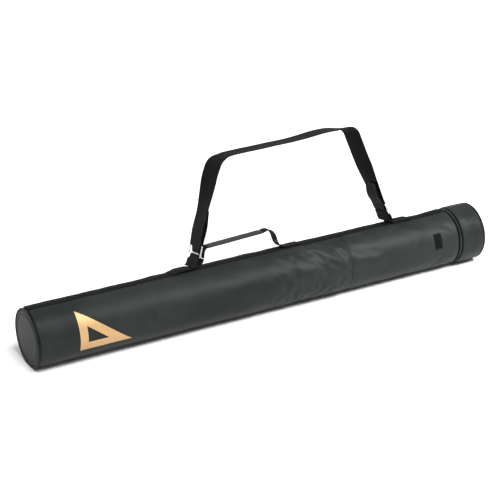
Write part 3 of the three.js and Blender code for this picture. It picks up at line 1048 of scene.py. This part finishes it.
lid_from, lid_to = span("lid_side")
lid_wall = rolled_sheet("lid_wall", lid_from - 0.0024, lid_to, 40, 96, lid_point)
settle_as_cloth(lid_wall, LID_R, loose_between(0.830, 0.838, 0.856, 0.864, 0.16))
thicken(lid_wall, SKIN_THICK, -1.0)
dress(lid_wall, SKIN, "lid", "skin", "lid_side")
stitch_row("lid_rim_stitches", round_places(lid_from + LID_SEAM, LID_R - 0.0003), "lid")
bead("lid_bead", "lid_piping", LID_R - 0.0019, 0.0016, "lid")
end_panel("lid_end_panel", "lid_panel", 1, "lid")


# ---------------------------------------------------------------- open mouth
# With the lid open the cut rim of the board tube shows, with the lining inside it, and the lid
# shows its own round lining. Each is turned smooth here and stands for its plain ring or disc.


def plain_ring(name, node, wall_inner, body, finish, slot, floor=None, pressed=0.0):
    """A thin turned ring in the place of a node. Padding is pressed slimmer by its cover."""
    x_low, x_high = span(node)
    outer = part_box(node)[1][1] - pressed
    middle, half = (wall_inner + outer) / 2, (outer - wall_inner) / 2
    section = oval((x_low + x_high) / 2, middle, (x_high - x_low) / 2, half, 16, 0.25)
    ring = turned_piece(name, section, 96)
    if floor is not None:
        rest_on_floor(ring, floor, 0.001)
    dress(ring, finish, body, slot, node)


plain_ring("padding_sleeve", "foam_sleeve", 0.0463, "case", foam, "foam", 0.0024, 0.0014)
plain_ring("lid_padding", "lid_foam", 0.0488, "lid", foam, "foam", 0.0020, 0.0006)
plain_ring("board_tube", "core_tube", 0.0440, "case", BOARD, "board")
plain_ring("tube_lining", "lining_sleeve", 0.0429, "case", LINING, "lining")
plain_ring("lid_wall_lining", "lid_lining", 0.0476, "lid", LINING, "lining", 0.003)


# ---------------------------------------------------------------- zip
# A nylon coil zip runs round the mouth from one end of the hinge to the other, with two rows of
# dark green coils that mesh in the middle. Its black tapes are sewn under both rims and go on
# under the hinge.

TAPE_DARK = (0.0012, 0.0014, 0.0014)
TAPE_LIT = (0.0042, 0.0047, 0.0045)
COIL_DARK = (0.030, 0.037, 0.035)
COIL_LIT = (0.052, 0.064, 0.060)
COIL_FLOOR = 0.0012
COIL_PITCH = 0.0015
COIL_R = 0.0498
COIL_WIRE = 0.00038
COIL_INSET = 0.00065
TAPE_BACK_R = 0.0492
ZIP_FROM = 48
ZIP_TO = 364

tape_weave = (0.05, 0.0010, 0.0011, 70.0, 0.4)
tape_gloss = {"roughness": 0.8, "specular_ior_level": 0.05}
TAPE = woven("zip tape cloth", TAPE_DARK, TAPE_LIT, *tape_weave, **tape_gloss)
coil_nylon = Finish("coil nylon", roughness=0.42, specular_ior_level=0.2)
coil_cloud = coil_nylon.cloud(coil_nylon.place(), 500.0, 4.0)
coil_nylon.feed(base_color=coil_nylon.blend(coil_cloud, COIL_DARK, COIL_LIT))
coil_nylon.relief(coil_cloud, 0.0001, 0.4)


def coil(name, x_middle, body):
    """One wire loop is modelled and set round the mouth, each a coil's pitch from the last."""
    size = {"major_radius": 0.001, "minor_radius": COIL_WIRE}
    bpy.ops.mesh.primitive_torus_add(major_segments=10, minor_segments=4, **size)
    piece = named(name)
    with editing(piece):
        bpy.ops.mesh.select_all(action="SELECT")
        bpy.ops.transform.resize(value=(0.75, 0.5, 0.9))
    turns = []
    count = int(math.radians(ZIP_TO - ZIP_FROM) * COIL_R / COIL_PITCH)
    for step in range(count):
        angle = ZIP_FROM + (ZIP_TO - ZIP_FROM) * (step + 0.5) / count
        centre = settle(at(x_middle, COIL_R, angle), COIL_FLOOR, FLOOR_EASE)
        along, up = Vector((1, 0, 0)), outward_at(angle).normalized()
        turns.append(stood(centre, along, up, -along.cross(up)))
    copy_to(piece, turns)
    dress(piece, coil_nylon, body, "zip", smooth=180)


def zip_tape(name, node, body, slot, radius, half_thick, corner, floor, *turned):
    """A flat strip of tape round the mouth: the coils' own strip, or the tape sewn inside."""
    low, high = span(node)
    section = oval((low + high) / 2, radius, (high - low) / 2, half_thick, 12, corner)
    piece = turned_piece(name, section, *turned)
    rest_on_floor(piece, floor)
    dress(piece, TAPE, body, slot, node)


for zip_side in ("case", "lid"):
    back = ("zip", TAPE_BACK_R - 0.0003, 0.0003, 0.35, COIL_FLOOR, 110, ZIP_FROM, ZIP_TO - ZIP_FROM)
    zip_tape("zip_back_" + zip_side, "zip_teeth_" + zip_side, zip_side, *back)
coil("zip_coil_case", span("zip_teeth_case")[1] - COIL_INSET, "case")
coil("zip_coil_lid", span("zip_teeth_lid")[0] + COIL_INSET, "lid")
for zip_side, tape_floor in (("case", 0.0017), ("lid", 0.0032)):
    sewn = ("webbing", 0.04805, 0.00045, 0.3, tape_floor, 120)
    zip_tape("zip_tape_in_" + zip_side, "zip_tape_" + zip_side, zip_side, *sewn)


# ---------------------------------------------------------------- hinge strip
# Between the ends of the zip a strip of the cover's own material joins case and lid. It is the lid's
# hinge, and it is made flat, as it lies when the lid is shut.

HINGE_FROM = 8.5
HINGE_TO = 43.5
HINGE_R = 0.0496
HINGE_LAP = 0.0006
JOINTS = {joint["name"]: joint for joint in frame["record"]["behaviour"]["joints"]}


def hinge_strip():
    low, high = span("lid_hinge_tape")
    bpy.ops.mesh.primitive_grid_add(x_subdivisions=24, y_subdivisions=24, size=1)
    piece = named("hinge_strip")
    for vertex in piece.data.vertices:
        x = low - HINGE_LAP + (vertex.co.x + 0.5) * (high - low + 2 * HINGE_LAP)
        angle = HINGE_FROM + (vertex.co.y + 0.5) * (HINGE_TO - HINGE_FROM)
        dip = 0.0005 * math.cos(math.tau * (vertex.co.x + 0.5))
        vertex.co = at(x, HINGE_R - dip, angle)
    thicken(piece, 0.0009)
    soften(piece, 0.0003)
    dress(piece, SKIN, None, "skin", "lid_hinge_tape")
    hinge = Vector(JOINTS["lid_open"]["pos_m"])
    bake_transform(piece)


hinge_strip()


# ---------------------------------------------------------------- zip slider, pull and stops
# A nickel-plated cast slider rides on the coils, with a small arch that holds a flat pull with a
# slot. Two crimped metal stops keep it from running off either end of the zip.

SLIDER_X = span("zip_slider")[0] + 0.0038
SLIDER_R = 0.0511
SLIDER_LONG = 0.0118
SLIDER_HIGH = 0.0028
SLIDER_ANGLE = 62
ARCH_HALF = 14
PULL_THICK = 0.0012
PULL_MIDDLE = 0.0092
NICKEL_DARK = (0.66, 0.65, 0.62)
NICKEL_LIT = (0.84, 0.83, 0.80)

nickel = Finish("nickel plate", metallic=1.0)
nickel_place = nickel.place()
nickel_haze = nickel.cloud(nickel_place, 120.0, 5.0)
nickel_rub = nickel.cloud(nickel_place, 900.0, 3.0)
nickel.feed(base_color=nickel.blend(nickel_haze, NICKEL_DARK, NICKEL_LIT))
nickel.feed(roughness=0.10 + nickel_haze * 0.16 + nickel_rub * 0.06)
nickel.relief(nickel_haze + nickel_rub * 0.3, 0.00012, 0.25)
wear(nickel, "zip_stop_back", "zip_stop_front")


def on_slider(point, lift=0.0):
    """Turns a point drawn flat, with z off the case and y round it, to the slider's parked place."""
    angle = SLIDER_ANGLE + math.degrees(point.y / 0.053)
    return at(SLIDER_X + point.x, SLIDER_R + lift + point.z, angle)


def rigid_on_slider(point, lift):
    """The same for a stiff flat piece, which stands straight off the middle of the slider."""
    base = at(SLIDER_X + point.x, SLIDER_R + lift + point.z, SLIDER_ANGLE)
    down = at(0, 1, SLIDER_ANGLE + 90) - at(0, 0, 0)
    return base + down * point.y


def zip_slider():
    bpy.ops.mesh.primitive_cube_add(size=1)
    piece = named("slider_body")
    with editing(piece, "FACE") as mesh:
        bpy.ops.mesh.select_all(action="SELECT")
        bpy.ops.transform.resize(value=(0.0076, SLIDER_LONG, SLIDER_HIGH))
        bpy.ops.transform.translate(value=(0, 0, SLIDER_HIGH / 2))
        bpy.ops.mesh.subdivide(number_cuts=5)
        for vertex in mesh.verts:
            share = vertex.co.y / (SLIDER_LONG / 2)
            vertex.co.x *= 0.86 - 0.16 * share + 0.10 * share * share
            vertex.co.z -= 0.0005 * (vertex.co.z / SLIDER_HIGH) * share * share
        bpy.ops.mesh.select_all(action="DESELECT")
        for face in mesh.faces:
            if face.normal.z > 0.8 and abs(face.calc_center_median().x) < 0.0022:
                face.select_set(abs(face.calc_center_median().y) < 0.0042)
        bpy.ops.mesh.inset(thickness=0.0004, depth=-0.0003)
    for vertex in piece.data.vertices:
        vertex.co = on_slider(vertex.co)
    soften(piece, 0.00045, 3, 40)
    dress(piece, nickel, "slider", "nickel", "zip_slider")


def slider_arch():
    """A flat strap of metal bent over the pull's bar, drawn as a half ring and thickened."""
    bpy.ops.mesh.primitive_circle_add(vertices=2 * ARCH_HALF)
    piece = named("slider_arch")
    for step, vertex in enumerate(piece.data.vertices):
        outer = step < ARCH_HALF
        turn = math.pi * ((step if outer else 2 * ARCH_HALF - 1 - step) / (ARCH_HALF - 1))
        reach, rise = (0.0036, 0.0034) if outer else (0.0023, 0.0023)
        vertex.co = (-0.001, reach * squared(math.cos(turn), 0.6), rise * math.sin(turn) ** 0.6)
    with editing(piece):
        bpy.ops.mesh.select_all(action="SELECT")
        bpy.ops.mesh.edge_face_add()
        bpy.ops.mesh.extrude_region_move(TRANSFORM_OT_translate={"value": (0.002, 0, 0)})
        face_outwards()
    for vertex in piece.data.vertices:
        vertex.co = rigid_on_slider(vertex.co, SLIDER_HIGH + 0.0002)
    soften(piece, 0.0003, angle=50)
    dress(piece, nickel, "slider", "nickel", "zip_slider_arch")


def slider_pull():
    """A flat tongue, wide and rounded at its free end, with a slot for the arch."""
    count = 36
    bpy.ops.mesh.primitive_circle_add(vertices=count)
    piece = named("slider_pull")
    for step, vertex in enumerate(piece.data.vertices):
        turn = math.tau * step / count
        y = PULL_MIDDLE + 0.0098 * squared(math.cos(turn), 0.8)
        wide = 0.0022 + 0.0007 * (y / 0.019)
        vertex.co = (wide * squared(math.sin(turn), 0.55), y, 0)
    with editing(piece, "EDGE") as mesh:
        bpy.ops.mesh.select_all(action="SELECT")
        bpy.ops.mesh.extrude_edges_move()
        for vertex in [vertex for vertex in mesh.verts if vertex.select]:
            vertex.co.x *= 0.48
            vertex.co.y = 0.0028 + (vertex.co.y - PULL_MIDDLE) * 0.24
        face_outwards()
    thicken(piece, PULL_THICK)
    for vertex in piece.data.vertices:
        vertex.co = rigid_on_slider(vertex.co, SLIDER_HIGH + 0.0014)
    with editing(piece):
        face_outwards()
    soften(piece, 0.0003, angle=50)
    dress(piece, nickel, "pull", "nickel", "zip_pull")


zip_slider()
slider_arch()
slider_pull()


# ---------------------------------------------------------------- tabs that hold the strap
# A short doubled piece of webbing is sewn across the band at each foot of the strap, over its
# lowest loop, with a square of stitching that has a cross in it.

TAB_WIDTH = 0.029
TAB_THICK = 0.0013
TAB_INSET = 0.0045
TAB_SEAM = 0.0105
TAB_WEB = webbing_finish("tab webbing", WEB_DARK, WEB_LIT, TAB_WIDTH, 12)


def tab(name, node, radius, slope=0.0):
    x_from, x_to = span(node)

    def shape(x, across):
        edge = max(0.0, 1 - min(x - x_from, x_to - x) / 0.004)
        rim = max(0.0, 1 - (TAB_WIDTH / 2 - abs(across)) / 0.003)
        sag = 0.0006 * (edge ** 2 + rim ** 2)
        rough = 0.0003 * noise.noise(Vector((x * 120, across * 120, 5.0)))
        low = slope * (1 - eased(x, x_from + 0.003, x_from + 0.016))
        angle = CARRY_LEAN + math.degrees(across / radius)
        return at(x, radius + TAB_THICK / 2 - sag + rough - low, angle)

    piece = wrapped_web(name, x_from, x_to, TAB_WIDTH, TAB_THICK, 14, shape)
    dress(piece, TAB_WEB, "case", "webbing", node)
    left, right, half = x_from + TAB_INSET, x_to - TAB_INSET, TAB_SEAM
    corners = [(left, -half), (right, -half), (right, half), (left, half)]
    route = corners + [corners[0], corners[2], corners[3], corners[1]]
    places = []
    for (x_a, a_a), (x_b, a_b) in zip(route, route[1:]):
        count = max(1, int(math.hypot(x_b - x_a, a_b - a_a) / STITCH_PITCH))
        for step in range(count):
            share = (step + 0.5) / count
            x, across = x_a + (x_b - x_a) * share, a_a + (a_b - a_a) * share
            ahead = shape(x + (x_b - x_a) * 0.01, across + (a_b - a_a) * 0.01)
            places.append(on_web(shape(x, across), ahead, TAB_THICK / 2))
    stitch_row(name + "_stitches", places, "case")


tab("left_tab", "anchor_tab_left", 0.0541, slope=0.0024)
tab("right_tab", "anchor_tab_right", 0.0517)


# ---------------------------------------------------------------- carry handle
# A 20 mm strap is sewn to the band at both ends and stands up as a low bar. Its middle is bound
# in a narrow sleeve of charcoal imitation leather, stiff enough to keep it straight.

HANDLE_WIDTH = 0.020
HANDLE_THICK = 0.0012
FOOT_R = 0.0522
FOOT_GATHER = 0.0042
GRIP_LEFT = Vector((0.334, 0.0818))
GRIP_RIGHT = Vector((0.444, 0.0859))
FOOT_LEFT = [
    (0.266, FOOT_R), (0.290, FOOT_R), (0.310, FOOT_R),
    (0.3180, 0.0536), (0.3228, 0.0574), (0.3252, 0.0636),
]
RISE_LEFT = [(0.3255, 0.0645), (0.3262, 0.0705), (0.3284, 0.0770), (0.3314, 0.0804), GRIP_LEFT]
FALL_RIGHT = [
    GRIP_RIGHT, (0.450, 0.0876), (0.4565, 0.0870), (0.462, 0.0825),
    (0.4656, 0.0760), (0.4674, 0.0695), (0.4686, 0.0645),
]
FOOT_RIGHT = [
    (0.4689, 0.0636), (0.4716, 0.0582), (0.4766, 0.0538),
    (0.485, FOOT_R), (0.498, FOOT_R), (0.512, FOOT_R),
]
GRIP_DARK = (0.020, 0.020, 0.0195)
GRIP_LIT = (0.034, 0.034, 0.033)
GRIP_END = 0.002
GRIP_CUTS = 24

HANDLE_WEB = webbing_finish("handle webbing", WEB_DARK, WEB_LIT, HANDLE_WIDTH, 7)
GRIP_SKIN = skin_finish("charcoal imitation leather", GRIP_DARK, GRIP_LIT, 1500.0)


def wavy(step, side):
    """Webbing never lies quite flat: it ripples a little along its length and from edge to edge."""
    return 0.0, 0.0003 * noise.noise(Vector((step * 0.21, side * 0.6, 1.5)))


handle_line = smooth_line(RISE_LEFT, 20) + smooth_line(FALL_RIGHT, 26)
handle = ribbon("handle_webbing", handle_line, HANDLE_THICK, HANDLE_WIDTH, 10, wavy)
dress(handle, HANDLE_WEB, "handle", "webbing", "handle_web")


def blend_up(piece, rise_from, rise_to, x):
    """The foot of a strap, held by the case: its transform is baked into its mesh."""
    on_carry(x, rise_from, 0)
    on_carry(x, rise_to, 0)
    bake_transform(piece)


def handle_foot(name, node, points):
    line = smooth_line(points, 34)

    def gathered_foot(step, side):
        """Under the slide the webbing is folded narrower, to leave room for the slide's corner."""
        by_slide_x = math.exp(-(((line[step].x - 0.3145) / 0.0090) ** 4))
        return -FOOT_GATHER * side * by_slide_x, 0.0

    foot = ribbon(name, line, HANDLE_THICK, HANDLE_WIDTH, 10, gathered_foot)
    dress(foot, HANDLE_WEB, None, "webbing", node)
    x_from, x_to = span(node)
    blend_up(foot, 0.0535, 0.0650, (x_from + x_to) / 2)


handle_foot("handle_left_foot", "handle_foot_left", FOOT_LEFT)
handle_foot("handle_right_foot", "handle_foot_right", FOOT_RIGHT)


def handle_grip():
    """A sleeve wrapped round the webbing: a rounded box, hollow, with a sewn edge along one side."""
    along = (GRIP_RIGHT - GRIP_LEFT).normalized()
    away = Vector((-along.y, along.x))
    length = (GRIP_RIGHT - GRIP_LEFT).length
    bpy.ops.mesh.primitive_cylinder_add(vertices=28, radius=1, depth=1, end_fill_type="NOTHING")
    piece = named("grip_sleeve")
    with editing(piece):
        for cut in range(1, GRIP_CUTS):
            cut_all((0, 0, cut / GRIP_CUTS - 0.5), (0, 0, 1))
    for vertex in piece.data.vertices:
        share = vertex.co.z + 0.5
        turn = math.atan2(vertex.co.y, vertex.co.x)
        hem = 0.0003 * math.exp(-((min(share, 1 - share) * length / 0.002) ** 2))
        uneven = 0.0003 * noise.noise(Vector((share * 9, turn, 2.0)))
        across = (HANDLE_WIDTH / 2 + 0.0010 - hem) * squared(math.cos(turn), 0.35)
        rise = (HANDLE_THICK / 2 + 0.0012 - hem + uneven) * squared(math.sin(turn), 0.6)
        place = GRIP_LEFT + along * (GRIP_END + share * (length - 2 * GRIP_END)) + away * rise
        vertex.co = on_carry(place.x, place.y, across)
    with editing(piece):
        face_outwards()
    thicken(piece, 0.0005, -1.0)
    dress(piece, GRIP_SKIN, "handle", "skin", "handle_grip")
    places = []
    seam = -HANDLE_WIDTH / 2 + 0.0022
    for step in range(int((length - 4 * GRIP_END) / STITCH_PITCH)):
        reach = 2 * GRIP_END + (step + 0.5) * STITCH_PITCH
        place = GRIP_LEFT + along * reach + away * (HANDLE_THICK / 2 + 0.0011)
        point = on_carry(place.x, place.y, seam)
        ahead = on_carry(place.x + along.x * 0.001, place.y + along.y * 0.001, seam)
        outward = on_carry(away.x, away.y, 0) - on_carry(0, 0, 0)
        places.append((point, ahead - point, outward))
    stitch_row("grip_stitches", places, "handle")


handle_grip()


# ---------------------------------------------------------------- slides
# Two flat nickel slides with three bars set the length of the shoulder strap. The webbing turns
# round the middle bar, and the lowest bar sits in the loop that is sewn to the case.

BAR_HEIGHT = 0.003
BAR_PITCH = 0.009
SLIDE_THICK = 0.002
SLIDE_INNER = 0.0392
SLIDE_SIDE = 0.0028
SLIDES = {"left": (0.3155, 0.0795, 18.7), "right": (0.6865, 0.0795, -19.3)}


def by_slide(slide, up, over):
    """A place beside a slide: up along the strap and over towards the lid, as (x, rise)."""
    x, rise, lean = SLIDES[slide]
    s, c = math.sin(math.radians(lean)), math.cos(math.radians(lean))
    return Vector((x + up * s + over * c, rise + up * c - over * s))


def strap_slide(slide):
    """A plate with two windows, rounded all over like a casting and slightly bowed."""
    bpy.ops.mesh.primitive_grid_add(x_subdivisions=3, y_subdivisions=5, size=2)
    piece = named("strap_slide_" + slide)
    half = SLIDE_INNER / 2
    columns = (-half - SLIDE_SIDE, -half, half, half + SLIDE_SIDE)
    top = BAR_PITCH + BAR_HEIGHT / 2
    near, far = BAR_HEIGHT / 2, BAR_PITCH - BAR_HEIGHT / 2
    rows = (-top, -far, -near, near, far, top)
    for vertex in piece.data.vertices:
        column = round((vertex.co.x + 1) * 1.5)
        row = round((vertex.co.y + 1) * 2.5)
        vertex.co = (columns[column], rows[row], 0)
    with editing(piece, "FACE") as mesh:
        for face in mesh.faces:
            middle = face.calc_center_median()
            face.select_set(abs(middle.x) < half and near < abs(middle.y) < far)
        bpy.ops.mesh.delete(type="FACE")
        bpy.ops.mesh.select_mode(type="VERT")
        bpy.ops.mesh.select_all(action="DESELECT")
        for vertex in mesh.verts:
            vertex.select_set(abs(vertex.co.x) > half + 0.001 and abs(vertex.co.y) > far + 0.001)
        bpy.ops.mesh.bevel(offset=0.0025, segments=5, affect="VERTICES")
    thicken(piece, SLIDE_THICK)
    soften(piece, 0.0007, 3, 50)
    for vertex in piece.data.vertices:
        bow = 0.0006 * (1 - (vertex.co.x / (half + SLIDE_SIDE)) ** 2)
        place = by_slide(slide, vertex.co.y, vertex.co.z + bow - 0.0003)
        vertex.co = on_carry(place.x, place.y, vertex.co.x)
    with editing(piece):
        face_outwards()
    dress(piece, nickel, "strap", "nickel", "glide_" + slide)


strap_slide("left")
strap_slide("right")


# ---------------------------------------------------------------- shoulder strap
# One length of 38 mm webbing: it turns round the middle bar of each slide, and its two tails lie
# doubled behind the legs. It stands up in a loop with soft corners and sags a little on top.

STRAP_WIDTH = 0.038
STRAP_THICK = 0.0016
TURN_R = SLIDE_THICK / 2 + 0.0003 + STRAP_THICK / 2
TURN_DROP = 0.0011
TAIL_BULGE = 0.0035
LEFT_TAIL = 26
RIGHT_TAIL = 19
STRAP_LOOP = [
    (0.3232, 0.111), (0.3362, 0.142), (0.3484, 0.174), (0.3608, 0.206), (0.3705, 0.2215),
    (0.386, 0.2285), (0.418, 0.2305), (0.480, 0.2308), (0.525, 0.2318), (0.575, 0.2355),
    (0.6015, 0.2352), (0.6255, 0.2328), (0.6365, 0.2265), (0.6442, 0.2065), (0.6530, 0.179),
    (0.6632, 0.149), (0.6735, 0.121),
]

STRAP_WEB = webbing_finish("strap webbing", WEB_DARK, WEB_LIT, STRAP_WIDTH, 14)


def bar_turn(slide, middle_up, below, count=12):
    """The webbing's half turn round a bar, from the base side to the lid side."""
    points = []
    for step in range(count + 1):
        turn = math.pi * step / count
        up = middle_up + (-1 if below else 1) * TURN_R * math.sin(turn)
        points.append(by_slide(slide, up, -TURN_R * math.cos(turn)))
    return points


def strap_line():
    start = [by_slide("left", up, -TURN_R) for up in (0.006, 0.013)]
    end = [by_slide("right", up, TURN_R) for up in (0.013, 0.006)]
    main = smooth_line([*start, *STRAP_LOOP, *end], 230)
    legs = (main[: LEFT_TAIL + 1], main[-RIGHT_TAIL - 1 :][::-1])
    tails = []
    for leg, way in zip(legs, (-1, 1)):
        tails.append([])
        for step, (point, across) in enumerate(zip(leg, line_normals(leg))):
            share = step / (len(leg) - 1)
            gap = 2 * TURN_R * (1 - share) + (STRAP_THICK + 0.0002) * share
            gap += TAIL_BULGE * math.sin(math.pi * share) ** 2
            tails[-1].append(point + across * way * gap)
    tail_left, tail_right = tails[0][::-1], tails[1]
    turn_left = bar_turn("left", -TURN_DROP, True)[::-1]
    turn_right = bar_turn("right", -TURN_DROP, True)[::-1]
    return tail_left + turn_left + main + turn_right + tail_right


STRAP_LINE = strap_line()
STRAP_RUN = run_of(STRAP_LINE)


def strap_shape(step, side):
    """The strap's small turns: it twists a little on its way and ripples near the slides."""
    place = STRAP_LINE[step]
    high = clamped((place.y - 0.100) / 0.06)
    right_leg = clamped((place.x - 0.60) / 0.03)
    left_leg = clamped((0.385 - place.x) / 0.02) * clamped((place.y - 0.14) / 0.05)
    twist = side * (0.0042 * left_leg - 0.0048 * right_leg)
    cup = 0.0006 * side * side
    ripple = 0.0006 * noise.noise(Vector((STRAP_RUN[step] * 26, side * 0.5, 0.4)))
    gathered = (1 - eased(place.y, 0.0845, 0.0885)) * (place.x < 0.5)
    return gathered * (-0.0060 - 0.0065 * side), (twist + ripple) * high + cup * high


strap = ribbon("shoulder_webbing", STRAP_LINE, STRAP_THICK, STRAP_WIDTH, 12, strap_shape)
dress(strap, STRAP_WEB, "strap", "webbing", "shoulder_strap")


def anchor_loop(slide, up_points, down_points):
    middle = TURN_DROP - BAR_PITCH
    line = smooth_line(up_points, 16) + bar_turn(slide, middle, False) + smooth_line(down_points, 12)

    def gathered_loop(step, side):
        gathered = eased(line[step].y, 0.0650, 0.0685) * (slide == "left")
        return gathered * (-0.0045 - 0.0048 * side), 0.0

    loop = ribbon("anchor_webbing_" + slide, line, STRAP_THICK, STRAP_WIDTH, 12, gathered_loop)
    node = "anchor_loop_" + slide
    dress(loop, STRAP_WEB, None, "webbing", node)
    x_from, x_to = span(node)
    blend_up(loop, 0.0560, 0.0680, (x_from + x_to) / 2)


anchor_loop(
    "left",
    [(0.301, 0.0542), (0.3045, 0.0562), (0.3072, 0.061), (0.3095, 0.067)],
    [(0.315, 0.0665), (0.3146, 0.0615), (0.3134, 0.057)],
)
anchor_loop(
    "right",
    [(0.6925, 0.0545), (0.6906, 0.0595), (0.6888, 0.066)],
    [(0.694, 0.0675), (0.6964, 0.0615), (0.6986, 0.057), (0.703, 0.0545)],
)


# ---------------------------------------------------------------- floor, light and camera
# A plain white floor under a wide overhead light, with a softbox at the right and one behind, as
# on a product table. The camera looks down on the case from its front and its base end.

floor_finish = Finish("studio floor", roughness=0.9)
floor_finish.feed(base_color=(0.84, 0.84, 0.84))
bpy.ops.mesh.primitive_plane_add(size=14, location=(0, 0, -0.0001))
floor = bpy.context.object
floor.name = "studio_floor"
floor.data.materials.append(floor_finish.material)

world = bpy.context.scene.world or bpy.data.worlds.new("studio")
bpy.context.scene.world = world
world.use_nodes = True
backdrop = world.node_tree.nodes["Background"].inputs
backdrop["Color"].default_value = (1.0, 1.0, 1.0, 1.0)
backdrop["Strength"].default_value = 0.35


def soft_light(name, place, target, size, power):
    bpy.ops.object.light_add(type="AREA", location=place)
    light = bpy.context.object
    light.name = name
    light.data.shape = "RECTANGLE"
    light.data.size, light.data.size_y = size
    light.data.energy = power
    light.rotation_euler = (Vector(target) - Vector(place)).to_track_quat("-Z", "Y").to_euler()


bpy.ops.object.light_add(type="SUN", location=(0, -1.5, 2.6))
skylight = bpy.context.object
skylight.name = "skylight"
skylight.data.energy = 3.0
skylight.data.angle = math.radians(24)
skylight.rotation_euler = (math.radians(27), 0, math.radians(6))

soft_light("right_softbox", (0.84, -0.78, 1.05), (0.24, 0, 0.06), (0.5, 0.4), 24)
soft_light("back_softbox", (-0.8, 1.5, 1.2), (-0.1, 0, 0), (1.2, 0.8), 16)

CAMERA_TARGET = Vector((-0.0241, 0.0003, 0.1120))
CAMERA_AZIMUTH = math.radians(-29.57)
CAMERA_ELEVATION = math.radians(24.5)
CAMERA_DISTANCE = 2.941
level = math.cos(CAMERA_ELEVATION)
away_x, away_y = math.sin(CAMERA_AZIMUTH) * level, -math.cos(CAMERA_AZIMUTH) * level
away = Vector((away_x, away_y, math.sin(CAMERA_ELEVATION)))
bpy.ops.object.camera_add(location=CAMERA_TARGET + away * CAMERA_DISTANCE)
camera = bpy.context.object
camera.name = "camera"
camera.rotation_euler = (-away).to_track_quat("-Z", "Y").to_euler()
camera.data.lens = 124.9
camera.data.sensor_width = 36
bpy.context.scene.camera = camera
bpy.context.scene.view_settings.view_transform = "Standard"
